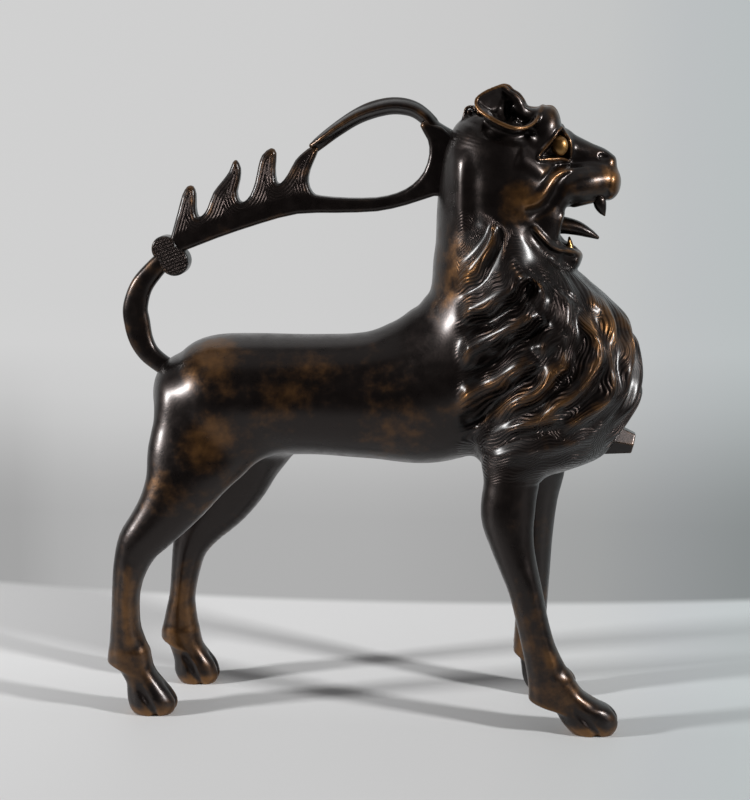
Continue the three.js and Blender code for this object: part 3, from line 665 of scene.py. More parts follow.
def draw_mane(flat):
    """Relief of the mane, and the phase of its chased strands."""
    across, up = flat.T
    wavy = flat + STRAND_WAVE * np.stack([np.sin(up / 2.4 + across / 9), np.sin(across / 2.9)], 1)
    locks = []
    for height, above, below, hollow, rows in LOCKS:
        path = [(math.radians(turn) * MANE_RADIUS, z) for turn, z in rows]
        locks.append((height, LOCK_SPREAD * above, LOCK_SPREAD * below, hollow, path))
    relief, _ = draw(flat, locks)
    _, nearest = draw(wavy, locks)
    return MANE_DEPTH * relief, nearest / STRAND_PITCH


mane_relief = Relief((-2, 122), (math.pi * MANE_RADIUS + 2, 266), 0.5, draw_mane, passes=14)

# Where the hair fades out: behind, below, and under a line along the jaw

HAIR_BACK = (43, 51)
HAIR_FOOT = (127, 138)
JAW_LINE = [(46, 264), (62, 261), (75, 251), (90, 243), (104, 232), (120, 226)]


def mane_map(points):
    """Points unrolled onto the mane's map, and how much they belong to the mane."""
    x, y, z = points.T
    middle, deep, wide = (np.interp(z, mane.rows[:, 1], mane.rows[:, i]) for i in (0, 3, 4))
    turn = np.arctan2(np.abs(y) / wide, (x - middle) / deep)
    share = smoothstep(*HAIR_BACK, x) * smoothstep(*HAIR_FOOT, z)
    share = share * smoothstep(1, -7, z - np.interp(x, *zip(*JAW_LINE)))
    return np.stack([turn * MANE_RADIUS, z], 1), share


# The head's bridge, upper lip and jaw: x, z, y, half depth, half width

BRIDGE = [
    [82, 293, 0, 12, 13],
    [92, 292, 0, 10.6, 11],
    [98, 290, 0, 8.8, 9.4],
    [106, 287, 0, 7.9, 8],
    [112.4, 285.2, 0, 7.1, 7.3],
    [116.6, 283, 0, 6.4, 6.8],
]
LIP = [
    [80, 274, 0, 12.6, 23],
    [90, 273.6, 0, 11.4, 21.5],
    [99, 273.4, 0, 10.6, 19.5],
    [108, 274.4, 0, 10, 17],
    [114.4, 274.8, 0, 9.4, 13.6],
    [118, 274.5, 0, 8.5, 11.6],
]
JAW = [
    [76, 245, 0, 9, 19.5],
    [86, 241.6, 0, 7.6, 18.2],
    [93, 239, 0, 6, 15.2],
    [98, 237.2, 0, 5.8, 12.2],
    [101.4, 235.8, 0, 5.3, 10.4],
]

# Ridges and grooves of the face's right side, as draw takes them, in the side view: x, z

MOUTH_CORNER = [(97, 261.2), (95.4, 259.3), (94.3, 254.2), (93.6, 249.8), (94.3, 246.7), (96.2, 244.3)]
FACE = [
    (1.7, 8, 7, 0, [(73, 289), (79.5, 286.6), (85.1, 283.5), (88.8, 280.5)]),
    (0.7, 3.0, 2.4, 0.5, [
        (121, 281.6), (115.8, 283.4), (110.3, 284.3), (104.8, 283.9), (99.9, 283.3), (95, 282),
    ]),
    (2.0, 5.0, 3.0, 1.3, [
        (76, 264.6), (79.6, 265.6), (83.6, 267.6), (87.7, 271.8),
        (89.6, 275.4), (92, 279.2), (96.6, 282), (103, 283.4),
    ]),
    (0.8, 1.8, 1.8, 0.5, [(120.7, 268.9), (117.6, 267.3), (108.9, 265.6), (102.7, 263.7), (96.6, 260.8)]),
    (0.6, 1.8, 1.8, 0, MOUTH_CORNER),
    (1.4, 2.4, 2.4, 0.8, [
        (80, 256), (83.4, 252.6), (86.9, 248.8), (90, 245.7), (93.8, 243.3), (98.8, 242.1), (104, 240.5),
    ]),
    (1.3, 7, 7, 0, [(44.6, 292), (45.6, 282), (46.8, 272.1), (46.5, 264), (46, 252)]),
    (-1.1, 6, 6, 0, [(52.6, 284), (51.8, 272), (52.2, 262), (53, 252)]),
    (-1.8, 5, 5, 0, [(55, 303), (64, 299.5), (74, 297.5), (83, 300)]),
]
face_relief = Relief((40, 228), (128, 318), 0.4, lambda flat: [draw(flat, FACE)[0]])

EYE = (93.4, -15, 293.4)
EYE_SIZE = (4.2, 3.6, 5.0)
EYELID, SOCKET_DEPTH = 1.3, 3.6
SOCKET_TURN = turned(x=-18, z=32)
SOCKET = np.array([(-12.4, -5.8), (6.2, -5.8), (4.6, 2.6), (0.6, 7.2), (-2.4, 5.2)])


def draw_socket(flat):
    """The three-cornered pit of an eye with its lids."""
    gap = outline_gap(flat, SOCKET)
    lid = EYELID * hill((gap - 0.9) / 1.5)
    return [lid - SOCKET_DEPTH * smoothstep(0.3, -2.2, gap)]


socket_relief = Relief((-20, -15), (14, 14), 0.25, draw_socket)

bridge = Sweep(BRIDGE, steps=6, square=2.2)
lip = Sweep(LIP, steps=6, square=2.3)
jaw = Sweep(JAW, square=2.4)
brow = Egg((84.6, -13.4, 299.6), (8.4, 9, 10))
brow_horn = Egg((87.4, -12.4, 302.6), (5.2, 6.6, 9.6), turned(y=8))
cheek = Egg((78, -15, 272), (13, 12.5, 13))
nostril = Egg((115.6, -6.6, 288.4), (3, 1.8, 1.9))
mouth = Egg((98.5, 0, 252.6), (12.5, 11.4, 8.2))
palate = Egg((108, 0, 261.6), (12, 8.4, 4))
mouth_corner = Tube([
    (92, -15, 265, 4.6),
    (89.6, -15.4, 259, 6.6),
    (87.2, -15.4, 252.6, 7.2),
    (86.8, -15.6, 246.4, 6.4),
    (91, -14.8, 241, 4.4),
])
lower_lip = Tube([
    (82, -21.4, 254, 1.2),
    (87, -19.4, 249.2, 1.6),
    (92, -16, 245.6, 1.7),
    (96, -13, 243, 1.7),
    (99.6, -10, 241.2, 1.6),
    (102.4, -6, 239.6, 1.6),
    (103.6, 0, 238.6, 1.6),
])
crown_ridge = Tube([
    (71, -18, 311, 2.4),
    (75, -17.4, 309.8, 2.6),
    (79.4, -16.2, 308.6, 2.6),
    (84, -14, 307.8, 2.6),
])
orbit = Egg((86.4, -9.5, 292.4), (12.5, 10.5, 10.2))
jaw_floor = Egg((97, 0, 243.6), (10, 8.6, 4))

EAR_RIM = [
    (84.6, -15, 311.6, 1.2),
    (83.6, -19, 308.6, 1.4),
    (81, -24.4, 304.8, 1.5),
    (77.5, -29, 302.8, 1.6),
    (73.9, -31.8, 302.4, 1.7),
    (70.2, -33.2, 302.9, 1.7),
    (65.3, -33.4, 304.8, 1.6),
    (61, -32.6, 307, 1.6),
    (57.9, -31.2, 308.8, 1.5),
    (54.8, -29, 311, 1.5),
    (53.2, -27, 313.8, 1.4),
    (53.8, -25.6, 316.6, 1.3),
    (57.7, -24, 319.4, 1.3),
    (61.3, -22.8, 321, 1.3),
    (64.6, -21.6, 322, 1.3),
    (67.4, -20.8, 321.2, 1.2),
    (68.8, -20.4, 318.6, 1.1),
]
EAR_FRONT = [(72.6, -20, 317.6), (76, -19.4, 314), (78.4, -18.4, 311.4), (81.6, -16.6, 310.8)]
EAR_MIDDLE = np.array([68, -27.5, 311])
EAR_TURN = turned(x=58.7)
EAR_DEPTH, EAR_SLOPE = 6.5, 7.5
EAR_RIM_SHARE = 0.62
EAR_FOLDS = [
    (-3.0, 2.8, 2.6, 0, [(0.4, 7.6), (0.0, 4), (-2.4, -4)]),
    (0.7, 1.4, 1.4, 0, [(-2.6, 8.6), (-3.8, 4), (-5.8, -2)]),
    (2.4, 2.6, 2.2, 0, [(4.4, 6), (5.4, 2), (3.6, -3.4)]),
]


class Ear(Form):
    """A cup within a rim, drawn on the flat frame of the rim: its own x, upwards and outwards."""

    margin = 6.0

    def __init__(self, rim, front):
        edge = np.array([row[:3] for row in [*rim, *front]])
        self.rim = closed_curve((edge - EAR_MIDDLE) @ EAR_TURN, 3)
        self.map = Relief((-24, -20), (24, 22), 0.3, self.drawing)
        corners = np.array([row[:3] for row in rim])
        self.set_box(corners.min(0) - (1, 1, 6), corners.max(0) + (1, 9, 1))

    def drawing(self, flat):
        """The height of the cup's inside, and the distance to the rim in the flat frame."""
        gap = outline_gap(flat, self.rim[:, :2])
        total, weights = 0, 0
        for u, v, height in self.rim:
            weight = 1 / ((flat[:, 0] - u) ** 2 + (flat[:, 1] - v) ** 2 + 1) ** 2
            total, weights = total + weight * height, weights + weight
        folds, _ = draw(flat, EAR_FOLDS)
        cup = total / weights - EAR_DEPTH * smoothstep(0, EAR_SLOPE, -gap)
        return [cup + folds * smoothstep(0.2, -1.6, gap), gap]

    def field(self, points):
        local = (points - EAR_MIDDLE) @ EAR_TURN
        flat, out = local[:, :2], local[:, 2]
        inside = (out - self.map(flat)) * 0.75
        shrink = 0.3 * np.maximum(-1 - out, 0)
        return meet(inside, self.map(flat, 1) + shrink, 0.8)


ear_cup = Ear(EAR_RIM, EAR_FRONT)
ear_rim = Tube([(x, y, z, EAR_RIM_SHARE * radius) for x, y, z, radius in EAR_RIM])
ear_fold = Tube([
    (66.6, -21, 320.4, 1.2),
    (69, -20.4, 318.8, 1.5),
    (71.6, -20, 316.6, 1.9),
    (73.8, -19.6, 313.2, 2.1),
    (74.8, -18.8, 309.6, 2.2),
])

# The filler hole in the crown with its seat, and the lugs of the hinge behind it

HOLE = (66.0, 0.0)
HOLE_HALF = (10.0, 9.0)
SEAT_Z = 308.0
crown_seat = Slab((HOLE[0], 0, SEAT_Z - 6), (13.2, 12.2, 6), 1.0)
hole = Slab((HOLE[0], 0, 292), (*HOLE_HALF, 30), 4.4)
neck_hollow = Egg((64, 0, 278), (21, 19, 24))
lid_bay = Slab((HOLE[0], 0, SEAT_Z + 20), (13.7, 12.7, 20), 0.3)
knuckle_bay = Tube([(HINGE[0], -2.8, HINGE[2], 3.7), (HINGE[0], 2.8, HINGE[2], 3.7)], steps=1)
LUG_OUTLINE = [
    (45.9, 309.3), (47, 311.8), (49.1, 312.5), (51.3, 311.8), (52.6, 308.8),
    (55.5, 303), (55, 296), (47, 294), (44.6, 300.4),
]
lug = Plate(LUG_OUTLINE, 1.8, 0.7, across=-4.6)

# Forms added to the head and forms cut out of it, each with the width of its fillet or edge

HEAD_FORMS = [
    (bridge, 4), (cheek, 9), (brow, 5), (brow_horn, 5), (orbit, 4), (lip, 3), (jaw, 3),
    (mouth_corner, 6), (lower_lip, 2.5), (crown_ridge, 4),
]
MOUTH_FORMS = [(mouth, 2), (palate, 1.5), (jaw_floor, 1.5)]

# Where the face's relief is drawn: how near the skin, ahead and above, and how far to the side

FACE_REACH = 12
FACE_LOW = (36, 226)
FACE_SIDE = (-5, -9)
SOCKET_REACH = (14, 10)


def head(points, skin):
    """The skull's details added to the skin of the neck; relief only near the skin."""
    side = right_side(points)
    out = skin
    for form, fillet in HEAD_FORMS:
        out = blend(out, form(side), fillet)
    for form, edge in MOUTH_FORMS:
        out = carve(out, form(side), edge)
    near = (side[:, 0] > FACE_LOW[0]) & (side[:, 2] > FACE_LOW[1]) & (np.abs(out) < FACE_REACH)
    flank = side[near]
    shape = face_relief(flank[:, [0, 2]]) * smoothstep(*FACE_SIDE, flank[:, 1])
    local = (flank - EYE) @ SOCKET_TURN
    shape += socket_relief(local[:, [0, 2]]) * smoothstep(*SOCKET_REACH, np.abs(local[:, 1]))
    out[near] -= shape
    out = carve(out, nostril(side), 1.2)
    ear = blend(blend(ear_cup(side), ear_fold(side), 2), ear_rim(side), 1)
    out = blend(out, ear, 2)
    out = blend(out, crown_seat(points), 3)
    out = blend(out, lug(side), 1.5)
    out = carve(out, blend(hole(points), neck_hollow(points), 4), 0.8)
    out = carve(out, np.minimum(lid_bay(points), knuckle_bay(points)), 0.5)
    return out


# Legs

# A shank is cut off at a ledge behind the ankle, and stands in a paw of four toes whose sections
# lie level. The rows are x, z, y, half depth and half width

GROOVE_TURNS = (-74, 0, 74)
GROOVE_DRIFT = 6
GROOVE_ROWS = 5
GROOVE_RADIUS = 1.5
GROOVE_OUT = 0.2


def toe_groove(paw, degrees):
    """A groove down a paw between two toes, from a turn off its front, fading out at its upper end."""
    rows = []
    for i, (x, z, y, deep, wide) in enumerate(paw[:GROOVE_ROWS]):
        turn = math.radians(degrees + i * GROOVE_DRIFT * np.sign(degrees))
        out = GROOVE_RADIUS if i == GROOVE_ROWS - 1 else GROOVE_OUT
        ahead, across = (deep + out) * math.cos(turn), (wide + out) * math.sin(turn)
        rows.append((x + ahead, y + across, z, GROOVE_RADIUS))
    return Tube(rows)


class Leg(Form):
    """Shank stations, the ledge's ends (x, z), and the paw's stations from the ground up."""

    def __init__(self, shank, ledge, paw):
        self.shank = Sweep(shank)
        (x1, z1), (x2, z2) = ledge
        self.ledge = (x1, z1, (z2 - z1) / (x2 - x1))
        self.paw = Sweep(paw, steps=6, square=2.3, level=True)
        self.grooves = [toe_groove(paw, degrees) for degrees in GROOVE_TURNS]
        self.set_box(np.minimum(self.shank.low, self.paw.low), np.maximum(self.shank.high, self.paw.high))

    def field(self, points):
        x, z, slope = self.ledge
        below = (z + slope * (points[:, 0] - x) - points[:, 2]) * 0.95
        shank = meet(self.shank(points), below, 1.8)
        paw = self.paw(points)
        for groove in self.grooves:
            paw = carve(paw, groove(points), 2)
        return blend(shank, paw, 3)


FORE_RIGHT_SHANK = [
    [74, 145, -25, 15, 11],
    [72.5, 128, -27, 13.5, 12],
    [71, 112, -29, 13.6, 11.5],
    [74, 95, -30.5, 10.6, 10.5],
    [80, 75, -32, 8.4, 9.2],
    [84.2, 57, -32.6, 7.8, 8.4],
    [87.6, 44, -32.8, 8.2, 8],
    [91.6, 32, -32.6, 10, 8.2],
    [94.6, 22, -32.2, 12, 8.6],
    [95.8, 12, -32, 12.8, 8.6],
]
FORE_RIGHT_PAW = [
    [115.4, -2, -30, 9, 8],
    [115, 2, -30, 12.4, 9.8],
    [114, 5.5, -30, 14.3, 10.6],
    [112.4, 9.5, -30.2, 15, 10.4],
    [109.4, 13.4, -30.6, 14.7, 9.8],
    [105.8, 16.4, -31, 12.4, 9],
    [100, 21.5, -31.8, 10.6, 8.4],
    [96, 28, -32, 9.2, 8],
]
FORE_LEFT_SHANK = [
    [86, 145, 25, 14, 11],
    [86, 126, 26, 13.4, 12],
    [84, 108, 27, 11.6, 11.5],
    [83.5, 88, 27.6, 9.8, 10.4],
    [83.5, 68, 28, 8.6, 9.2],
    [83, 52, 28, 8.2, 8.4],
    [82.4, 40, 28, 8.4, 8.2],
    [83.4, 30, 28, 10, 8.4],
    [85, 20, 28, 12, 8.6],
    [86, 10, 27.6, 12.6, 8.6],
]
FORE_LEFT_PAW = [
    [94.6, -2, 27.6, 9, 8],
    [94.2, 2, 27.6, 12.2, 9.6],
    [93.4, 6, 27.6, 14, 10.4],
    [91.8, 10.5, 27.6, 13.6, 10],
    [89, 15, 27.6, 11.4, 9],
    [86.4, 20.5, 27.8, 9.6, 8.4],
    [84.6, 28, 28, 9, 8],
]
HIND_RIGHT_SHANK = [
    [-77.5, 153, -14, 28, 15],
    [-88, 137.2, -20, 25.8, 14.8],
    [-96, 120, -24, 19, 13.4],
    [-103.2, 108.4, -25.6, 15.2, 12.2],
    [-110, 99.8, -26.6, 13, 11.2],
    [-117, 91, -27.2, 11.2, 10.4],
    [-121.8, 79, -27.4, 8.8, 9.4],
    [-124.4, 66, -27.4, 7.2, 8.4],
    [-125.2, 54, -26.8, 7.2, 8],
    [-125.4, 45, -26, 8, 8],
    [-124.6, 36, -25.4, 10, 8.2],
    [-124.4, 28, -25, 11.3, 8.4],
    [-124.2, 18, -24.6, 11.6, 8.4],
]
HIND_RIGHT_PAW = [
    [-112.2, -2, -23.6, 8.4, 7.8],
    [-112.2, 2, -23.6, 11.8, 9.8],
    [-112.6, 6.6, -23.8, 12.7, 10.6],
    [-114.1, 11.5, -24, 11.6, 9.8],
    [-115.9, 16, -24.4, 9.9, 8.8],
    [-118.9, 21, -24.8, 9.2, 8.4],
    [-121.6, 26, -25, 9.2, 8.2],
    [-123, 32, -25, 9.4, 8.2],
]
HIND_LEFT_SHANK = [
    [-60, 148, 13, 24, 13],
    [-71, 132, 19.5, 23.4, 14.5],
    [-77.6, 116.2, 23, 20.4, 13.4],
    [-84.8, 103.4, 24.6, 17.4, 12.2],
    [-94.8, 90, 26, 14, 11],
    [-101.6, 76, 26.4, 9.6, 9.6],
    [-104.6, 62, 26.4, 7.7, 8.4],
    [-106.4, 49, 26.2, 7, 8],
    [-107.2, 40, 26, 8.2, 8.2],
    [-107.6, 31, 26, 9.8, 8.4],
    [-108, 23, 26, 10.6, 8.6],
    [-108, 14, 26, 10.8, 8.6],
]
HIND_LEFT_PAW = [
    [-98.4, -2, 27, 8, 7.8],
    [-98.6, 2.2, 27, 11.2, 9.6],
    [-99.3, 6.2, 27, 12.1, 10.2],
    [-100.2, 11.4, 26.8, 11.3, 9.6],
    [-102.5, 16.4, 26.4, 10.1, 8.8],
    [-105, 21.5, 26, 9.2, 8.4],
    [-107.4, 28, 26, 9.2, 8.2],
]
legs = [
    Leg(FORE_RIGHT_SHANK, [(83, 16.4), (99, 12)], FORE_RIGHT_PAW),
    Leg(FORE_LEFT_SHANK, [(72, 22), (88, 17.5)], FORE_LEFT_PAW),
    Leg(HIND_RIGHT_SHANK, [(-136, 26.4), (-116, 22)], HIND_RIGHT_PAW),
    Leg(HIND_LEFT_SHANK, [(-119.4, 24.2), (-99, 19)], HIND_LEFT_PAW),
]

# Ridges down the right shanks in the side view

SHIN_LINES = [
    (0.9, 4, 6, 0, [(80, 92), (86.6, 71.7), (89, 60.6), (92.4, 48.4), (95, 38), (96, 27)]),
    (0.9, 6, 4, 0, [(-120, 84), (-122.3, 62), (-122.6, 48), (-122, 36)]),
]
shin_relief = Relief((-140, 14), (130, 100), 0.6, lambda flat: [draw(flat, SHIN_LINES)[0]])

# How wide the fillets between the casting's parts are, and how near its skin relief is drawn

NAPE_FILLET, MANE_FILLET, LEG_FILLET = 14, 5, 9
MANE_REACH, SHIN_REACH = 10, 8
SHIN_TOP = 100
SHIN_SIDE = (6, 14)
FAR_AWAY = 60.0


def casting(points):
    """The whole body in one skin: barrel, neck, mane, head and legs."""
    skin = blend(blend(body(points), nape(points), NAPE_FILLET), mane(points), MANE_FILLET)
    near = np.abs(skin) < MANE_REACH
    flat, share = mane_map(points[near])
    skin[near] -= mane_relief(flat) * share
    skin = head(points, skin)
    lower = np.full(len(points), FAR_AWAY)
    for leg in legs:
        lower = np.minimum(lower, leg(points))
    shin = (np.abs(lower) < SHIN_REACH) & (points[:, 2] < SHIN_TOP)
    lower[shin] -= shin_relief(points[shin][:, [0, 2]]) * smoothstep(*SHIN_SIDE, -points[shin, 1])
    return np.maximum(blend(skin, lower, LEG_FILLET), -points[:, 2])


# Places on the right side rubbed bare by hands: x, y, z, radius, how bare; the fade is in radii

RUBBED = [
    (-82, -33, 146, 15, 0.9),
    (-78, -26, 184, 19, 0.8),
    (-102, -34, 120, 12, 0.5),
    (-42, -27, 178, 20, 0.65),
    (14, -28, 158, 22, 0.5),
    (52, -34, 168, 20, 0.5),
    (78, -30, 268, 13, 0.8),
    (92, -22, 284, 10, 0.6),
    (121, -6, 278, 9, 0.6),
    (86, -14, 309, 9, 0.6),
    (44, -22, 240, 22, 0.4),
    (120, -22, 205, 22, 0.5),
    (100, -42, 180, 22, 0.5),
]
RUB_FADE = 1.6


def rubbing(points):
    """How bare the bronze is rubbed: on the places above, the paws' soles, shanks and ear rims."""
    side = right_side(points)
    x, y, z = side.T
    soles = 0.9 * smoothstep(7, 1, z)
    shanks = 0.35 * smoothstep(90, 50, z) * smoothstep(10, 24, z)
    rims = 0.85 * smoothstep(0.8, -0.6, ear_rim(side))
    bare = np.max([soles, shanks, rims], 0)
    for px, py, pz, radius, amount in RUBBED:
        gap = np.sqrt((x - px) ** 2 + (y - py) ** 2 + (z - pz) ** 2)
        bare = np.maximum(bare, amount * hill(np.minimum(gap / (RUB_FADE * radius), 1)))
    return bare


def casting_marks(points):
    """Strands of the mane, how much of it is hair, and how bare the bronze is."""
    flat, share = mane_map(points)
    return {"strand": mane_relief(flat, 1), "hair": share, "rub": rubbing(points)}


# The calm skin fades out ahead, towards the feet and towards the crown

CALM_FRONT = (68, 60)
CALM_FOOT = (95, 120)
CALM_TOP = (292, 280)


def calm_skin(points):
    """Where the casting's skin is drawn even: barrel, haunches and neck, but not the hair."""
    x, _, z = points.T
    _, hair = mane_map(points)
    return smoothstep(*CALM_FRONT, x) * smoothstep(*CALM_FOOT, z) * smoothstep(*CALM_TOP, z) * (1 - hair)


CASTING_AXES = [
    graded_axis(-140, 1.1, 40, 0.64, 140),
    graded_axis(-50, 0.74, 50),
    graded_axis(-2.4, 0.8, 34, 1.2, 124, 0.66, 326),
]
CAST_NODES = [
    "torso_shell", "mane_shell", "head_shell", "lower_jaw", "ear_right", "ear_left",
    "foreleg_right", "foreleg_left", "hindleg_right", "hindleg_left",
]
make(
    "lion_casting", casting, CASTING_AXES, "dark_bronze",
    nodes=CAST_NODES, extra=casting_marks, calm=calm_skin,
)

# Eyes, teeth and tongue; a right fang is its y and its rows of x, z and radius

UPPER_FANG = (-9, [(113.4, 266.4, 3.2), (114, 264, 3), (115, 261.4, 2), (116, 259.4, 0.6)])
LOWER_FANG = (-8, [(99.8, 239, 2), (99.5, 242.6, 1.7), (99, 246.6, 0.6)])


def fang(drawn, side):
    """A fang on the right side (1) or the left (-1)."""
    y, rows = drawn
    return Tube([(x, side * y, z, radius) for x, z, radius in rows])


for name, side in (("right", 1), ("left", -1)):
    eye = Egg(np.array(EYE) * (1, side, 1), EYE_SIZE)
    upper, lower = fang(UPPER_FANG, side), fang(LOWER_FANG, side)
    make(f"eye_{name}", eye, box_axes(eye, 0.35), "bright_bronze")
    make(f"upper_fang_{name}", upper, box_axes(upper, 0.35), "dark_bronze")
    make(f"lower_fang_{name}", lower, box_axes(lower, 0.3), "bright_bronze")

TONGUE = [
    [84, 253.6, 0, 4.6, 8],
    [92, 253.6, 0, 4.5, 8],
    [97, 253.4, 0, 4.2, 7],
    [103.2, 252, 0, 3.6, 5.4],
    [109, 249.6, 0, 2.3, 3.6],
    [113.2, 247.4, 0, 0.9, 1.4],
]
tongue_form = Sweep(TONGUE, square=2.2)
tongue_groove = Tube([(88, 0, 259, 1.6), (97, 0, 258.6, 1.4), (104, 0, 256.4, 1), (110, 0, 252.6, 0.7)])


def tongue_field(points):
    """The tongue with its groove."""
    return carve(tongue_form(points), tongue_groove(points), 1)


make("tongue", tongue_field, box_axes(tongue_form, 0.4), "dark_bronze")

# The lid on its own body, with a knuckle on the hinge pin

LID_Z = 308.3
LID_THICK = 2.6
PIN_RADIUS = 1.3
PIN_PLAY = 0.3
lid_plate = Slab((HOLE[0], 0, LID_Z + LID_THICK / 2), (13.2, 12.2, LID_THICK / 2), 0.9)
lid_dome = Egg((HOLE[0], 0, LID_Z + 0.6), (12.2, 11.2, 3.4))
lid_plug = Slab((HOLE[0], 0, LID_Z - 1.2), (9.5, 8.5, 1.6), 0.6)
lid_scoop = Slab((HOLE[0], 0, LID_Z - 3.4), (7.9, 6.9, 2.4), 0.6)
lid_strap = Slab((57, 0, LID_Z + LID_THICK / 2), (8.5, 2.5, 1.4), 0.5)
lid_rib = Tube([(54, 0, LID_Z + 2.8, 1.6), (64, 0, LID_Z + 3.4, 1.3), (74, 0, LID_Z + 2.6, 0.9)])
knuckle = Rod(HINGE[0], HINGE[2], 3.2, 2.5)
pin_hole = Rod(HINGE[0], HINGE[2], PIN_RADIUS + PIN_PLAY, 12)
pin_form = Rod(HINGE[0], HINGE[2], PIN_RADIUS, 7.5)


def lid_field(points):
    """The lid with its dome, rib, hollow plug, strap and knuckle, bored for the pin."""
    out = blend(lid_plate(points), lid_dome(points), 2)
    out = blend(out, lid_rib(points), 2)
    out = blend(out, carve(lid_plug(points), lid_scoop(points), 0.5), 0.6)
    out = blend(out, blend(lid_strap(points), knuckle(points), 1), 1)
    return carve(out, pin_hole(points), 0.3)


lid_axes = block_axes((44, -14, 303), (81, 14, 315), (0.5, 0.5, 0.4))
make("filler_lid", lid_field, lid_axes, "bronze_fittings", body_name="lid")
make("lid_hinge_pin", pin_form, box_axes(pin_form, 0.3), "bronze_fittings")

# Tail, knot and handle

TAIL = [
    [-98, 174, 0, 7, 7],
    [-104, 177, 0, 5.2, 4.8],
    [-110, 180.4, 0, 4.9, 4.3],
    [-116.2, 185.8, 0, 5.4, 4.2],
    [-120, 192.8, 0, 6.2, 4.2],
    [-121.8, 201, 0, 6.7, 4.2],
    [-122.5, 209.5, 0, 6.4, 4.2],
    [-118.8, 220.6, 0, 5.7, 4.2],
    [-110.4, 230.8, 0, 5, 4.2],
    [-104.6, 236.2, 0, 4.4, 4.2],
]
tail_form = Sweep(TAIL, steps=8, square=2.6)
make("tail", tail_form, box_axes(tail_form, 0.7), "dark_bronze")

KNOT_HALF = 5.5
HATCH_PITCH = 1.9
upper_lobe = Rod(-105.9, 239.8, 6.7, KNOT_HALF, edge=1.5)
lower_lobe = Rod(-101, 233.6, 7.5, KNOT_HALF, edge=1.5)


def knot_field(points):
    """The knot's two lobes."""
    return blend(upper_lobe(points), lower_lobe(points), 0.8)


def hatching(points):
    """Lines cut crosswise into the knot's faces."""
    x, _, z = points.T
    face = smoothstep(KNOT_HALF - 1.6, KNOT_HALF - 0.8, np.abs(points[:, 1]))
    return {"strand": (x + 0.5 * z) / HATCH_PITCH, "cross": (0.4 * x - z) / HATCH_PITCH, "hair": face}


knot_axes = block_axes((-116, -7, 223), (-91, 7, 250), 0.45)
make("tail_knot", knot_field, knot_axes, "dark_bronze", extra=hatching)

# The handle bar's outline in the side view: below, up its tufts and round the inside of the ring

BAR_BELOW = [
    (-104, 236.6), (-93.7, 239.7), (-78.3, 245.7), (-56.8, 253), (-37.5, 258.1),
    (-17.4, 258.8), (2.7, 259.7), (17.7, 263.1), (31.6, 267.8), (42, 270),
]
TUFTS = [
    (-103.6, 243), (-101.8, 249), (-99, 258.6), (-96.8, 267), (-94.1, 271.5), (-91.2, 271.5),
    (-89.8, 267.7), (-89.9, 261), (-89, 256.2), (-86.2, 257.2), (-83.6, 260.8), (-80.6, 268.6),
    (-76, 274.4), (-72.6, 279), (-70.6, 283.8), (-68.6, 284.8), (-66.6, 280.8), (-67, 275),
    (-68.6, 269), (-67.6, 264.6), (-65, 264), (-61.6, 267.4), (-59.1, 273.9), (-57.5, 282),
    (-55.6, 287.4), (-51, 291), (-48.3, 288.4), (-48.9, 281), (-48.4, 274.2), (-46, 273.6),
    (-42.4, 278), (-38.6, 285), (-34.3, 289.2), (-30.6, 291.6), (-27.2, 290.8),
]
RING_INSIDE = [
    (-28, 287.6), (-31.3, 280), (-32.2, 274), (-30.2, 268.9), (-26, 267.2), (-12.3, 266.3),
    (2, 266.6), (12.7, 269), (20.6, 273.4), (26.4, 280), (29, 288.4), (28.2, 295.6),
    (24.4, 302.4), (28, 304.5), (42, 296),
]
BAR_HALF = 4.6
CHASING_PITCH = 1.5


def above_bar(flat):
    """How high flat points lie above the bar's lower outline."""
    return flat[:, 1] - np.interp(flat[:, 0], *zip(*BAR_BELOW))


def bar_half(flat):
    """Half thickness: the tufts thin towards their tips, the bar widens where it meets the neck."""
    thin = 1.9 * smoothstep(16, 34, above_bar(flat)) * smoothstep(-20, -34, flat[:, 0])
    return BAR_HALF - thin + 2.4 * smoothstep(10, 32, flat[:, 0])


bar_form = Plate([*BAR_BELOW, *RING_INSIDE[::-1], *TUFTS[::-1]], bar_half, 2.3, steps=2)


def chasing(points):
    """Chased lines that follow the outline of each tuft."""
    flat = points[:, [0, 2]]
    face = smoothstep(8, 13, above_bar(flat)) * smoothstep(-24, -29, flat[:, 0])
    return {"strand": outline_gap(flat, bar_form.outline) / CHASING_PITCH, "hair": face * 0.8}


bar_axes = block_axes((-107, -8, 233), (45, 8, 305), 0.55)
make("handle_bar", bar_form, bar_axes, "dark_bronze", extra=chasing)

# The strap that closes the ring, with a rib along its back

STRAP = [
    [-30, 292.4, 0, 1.2, 2],
    [-25.5, 295.6, 0, 1.9, 4.2],
    [-17, 301.6, 0, 2.3, 6],
    [-5.5, 308.2, 0, 2.7, 6.9],
    [8.5, 312.2, 0, 3, 7],
    [19.5, 311.4, 0, 3, 7],
    [26.6, 307.2, 0, 3, 6.6],
    [31.4, 301.6, 0, 3.4, 6.2],
    [40, 295.5, 0, 4.4, 6.2],
]
STRAP_RIB = [
    (-28, 0, 294.6, 0.8), (-22.2, 0, 299.4, 1.2), (-12.2, 0, 306.6, 1.4), (-2.3, 0, 312, 1.5),
    (8, 0, 314.6, 1.5), (17, 0, 314.2, 1.5), (24.4, 0, 311, 1.5), (31, 0, 305, 1.5),
]
strap_form = Sweep(STRAP, steps=6, square=1.9)
strap_rib = Tube(STRAP_RIB)
strap_under = Sweep([[x, z - 2, y, 2.6, wide * 0.45] for x, z, y, deep, wide in STRAP], steps=6)


def strap_field(points):
    """The strap with its rib and its rounded underside."""
    out = blend(strap_form(points), strap_rib(points), 1.6)
    return blend(out, strap_under(points), 2)


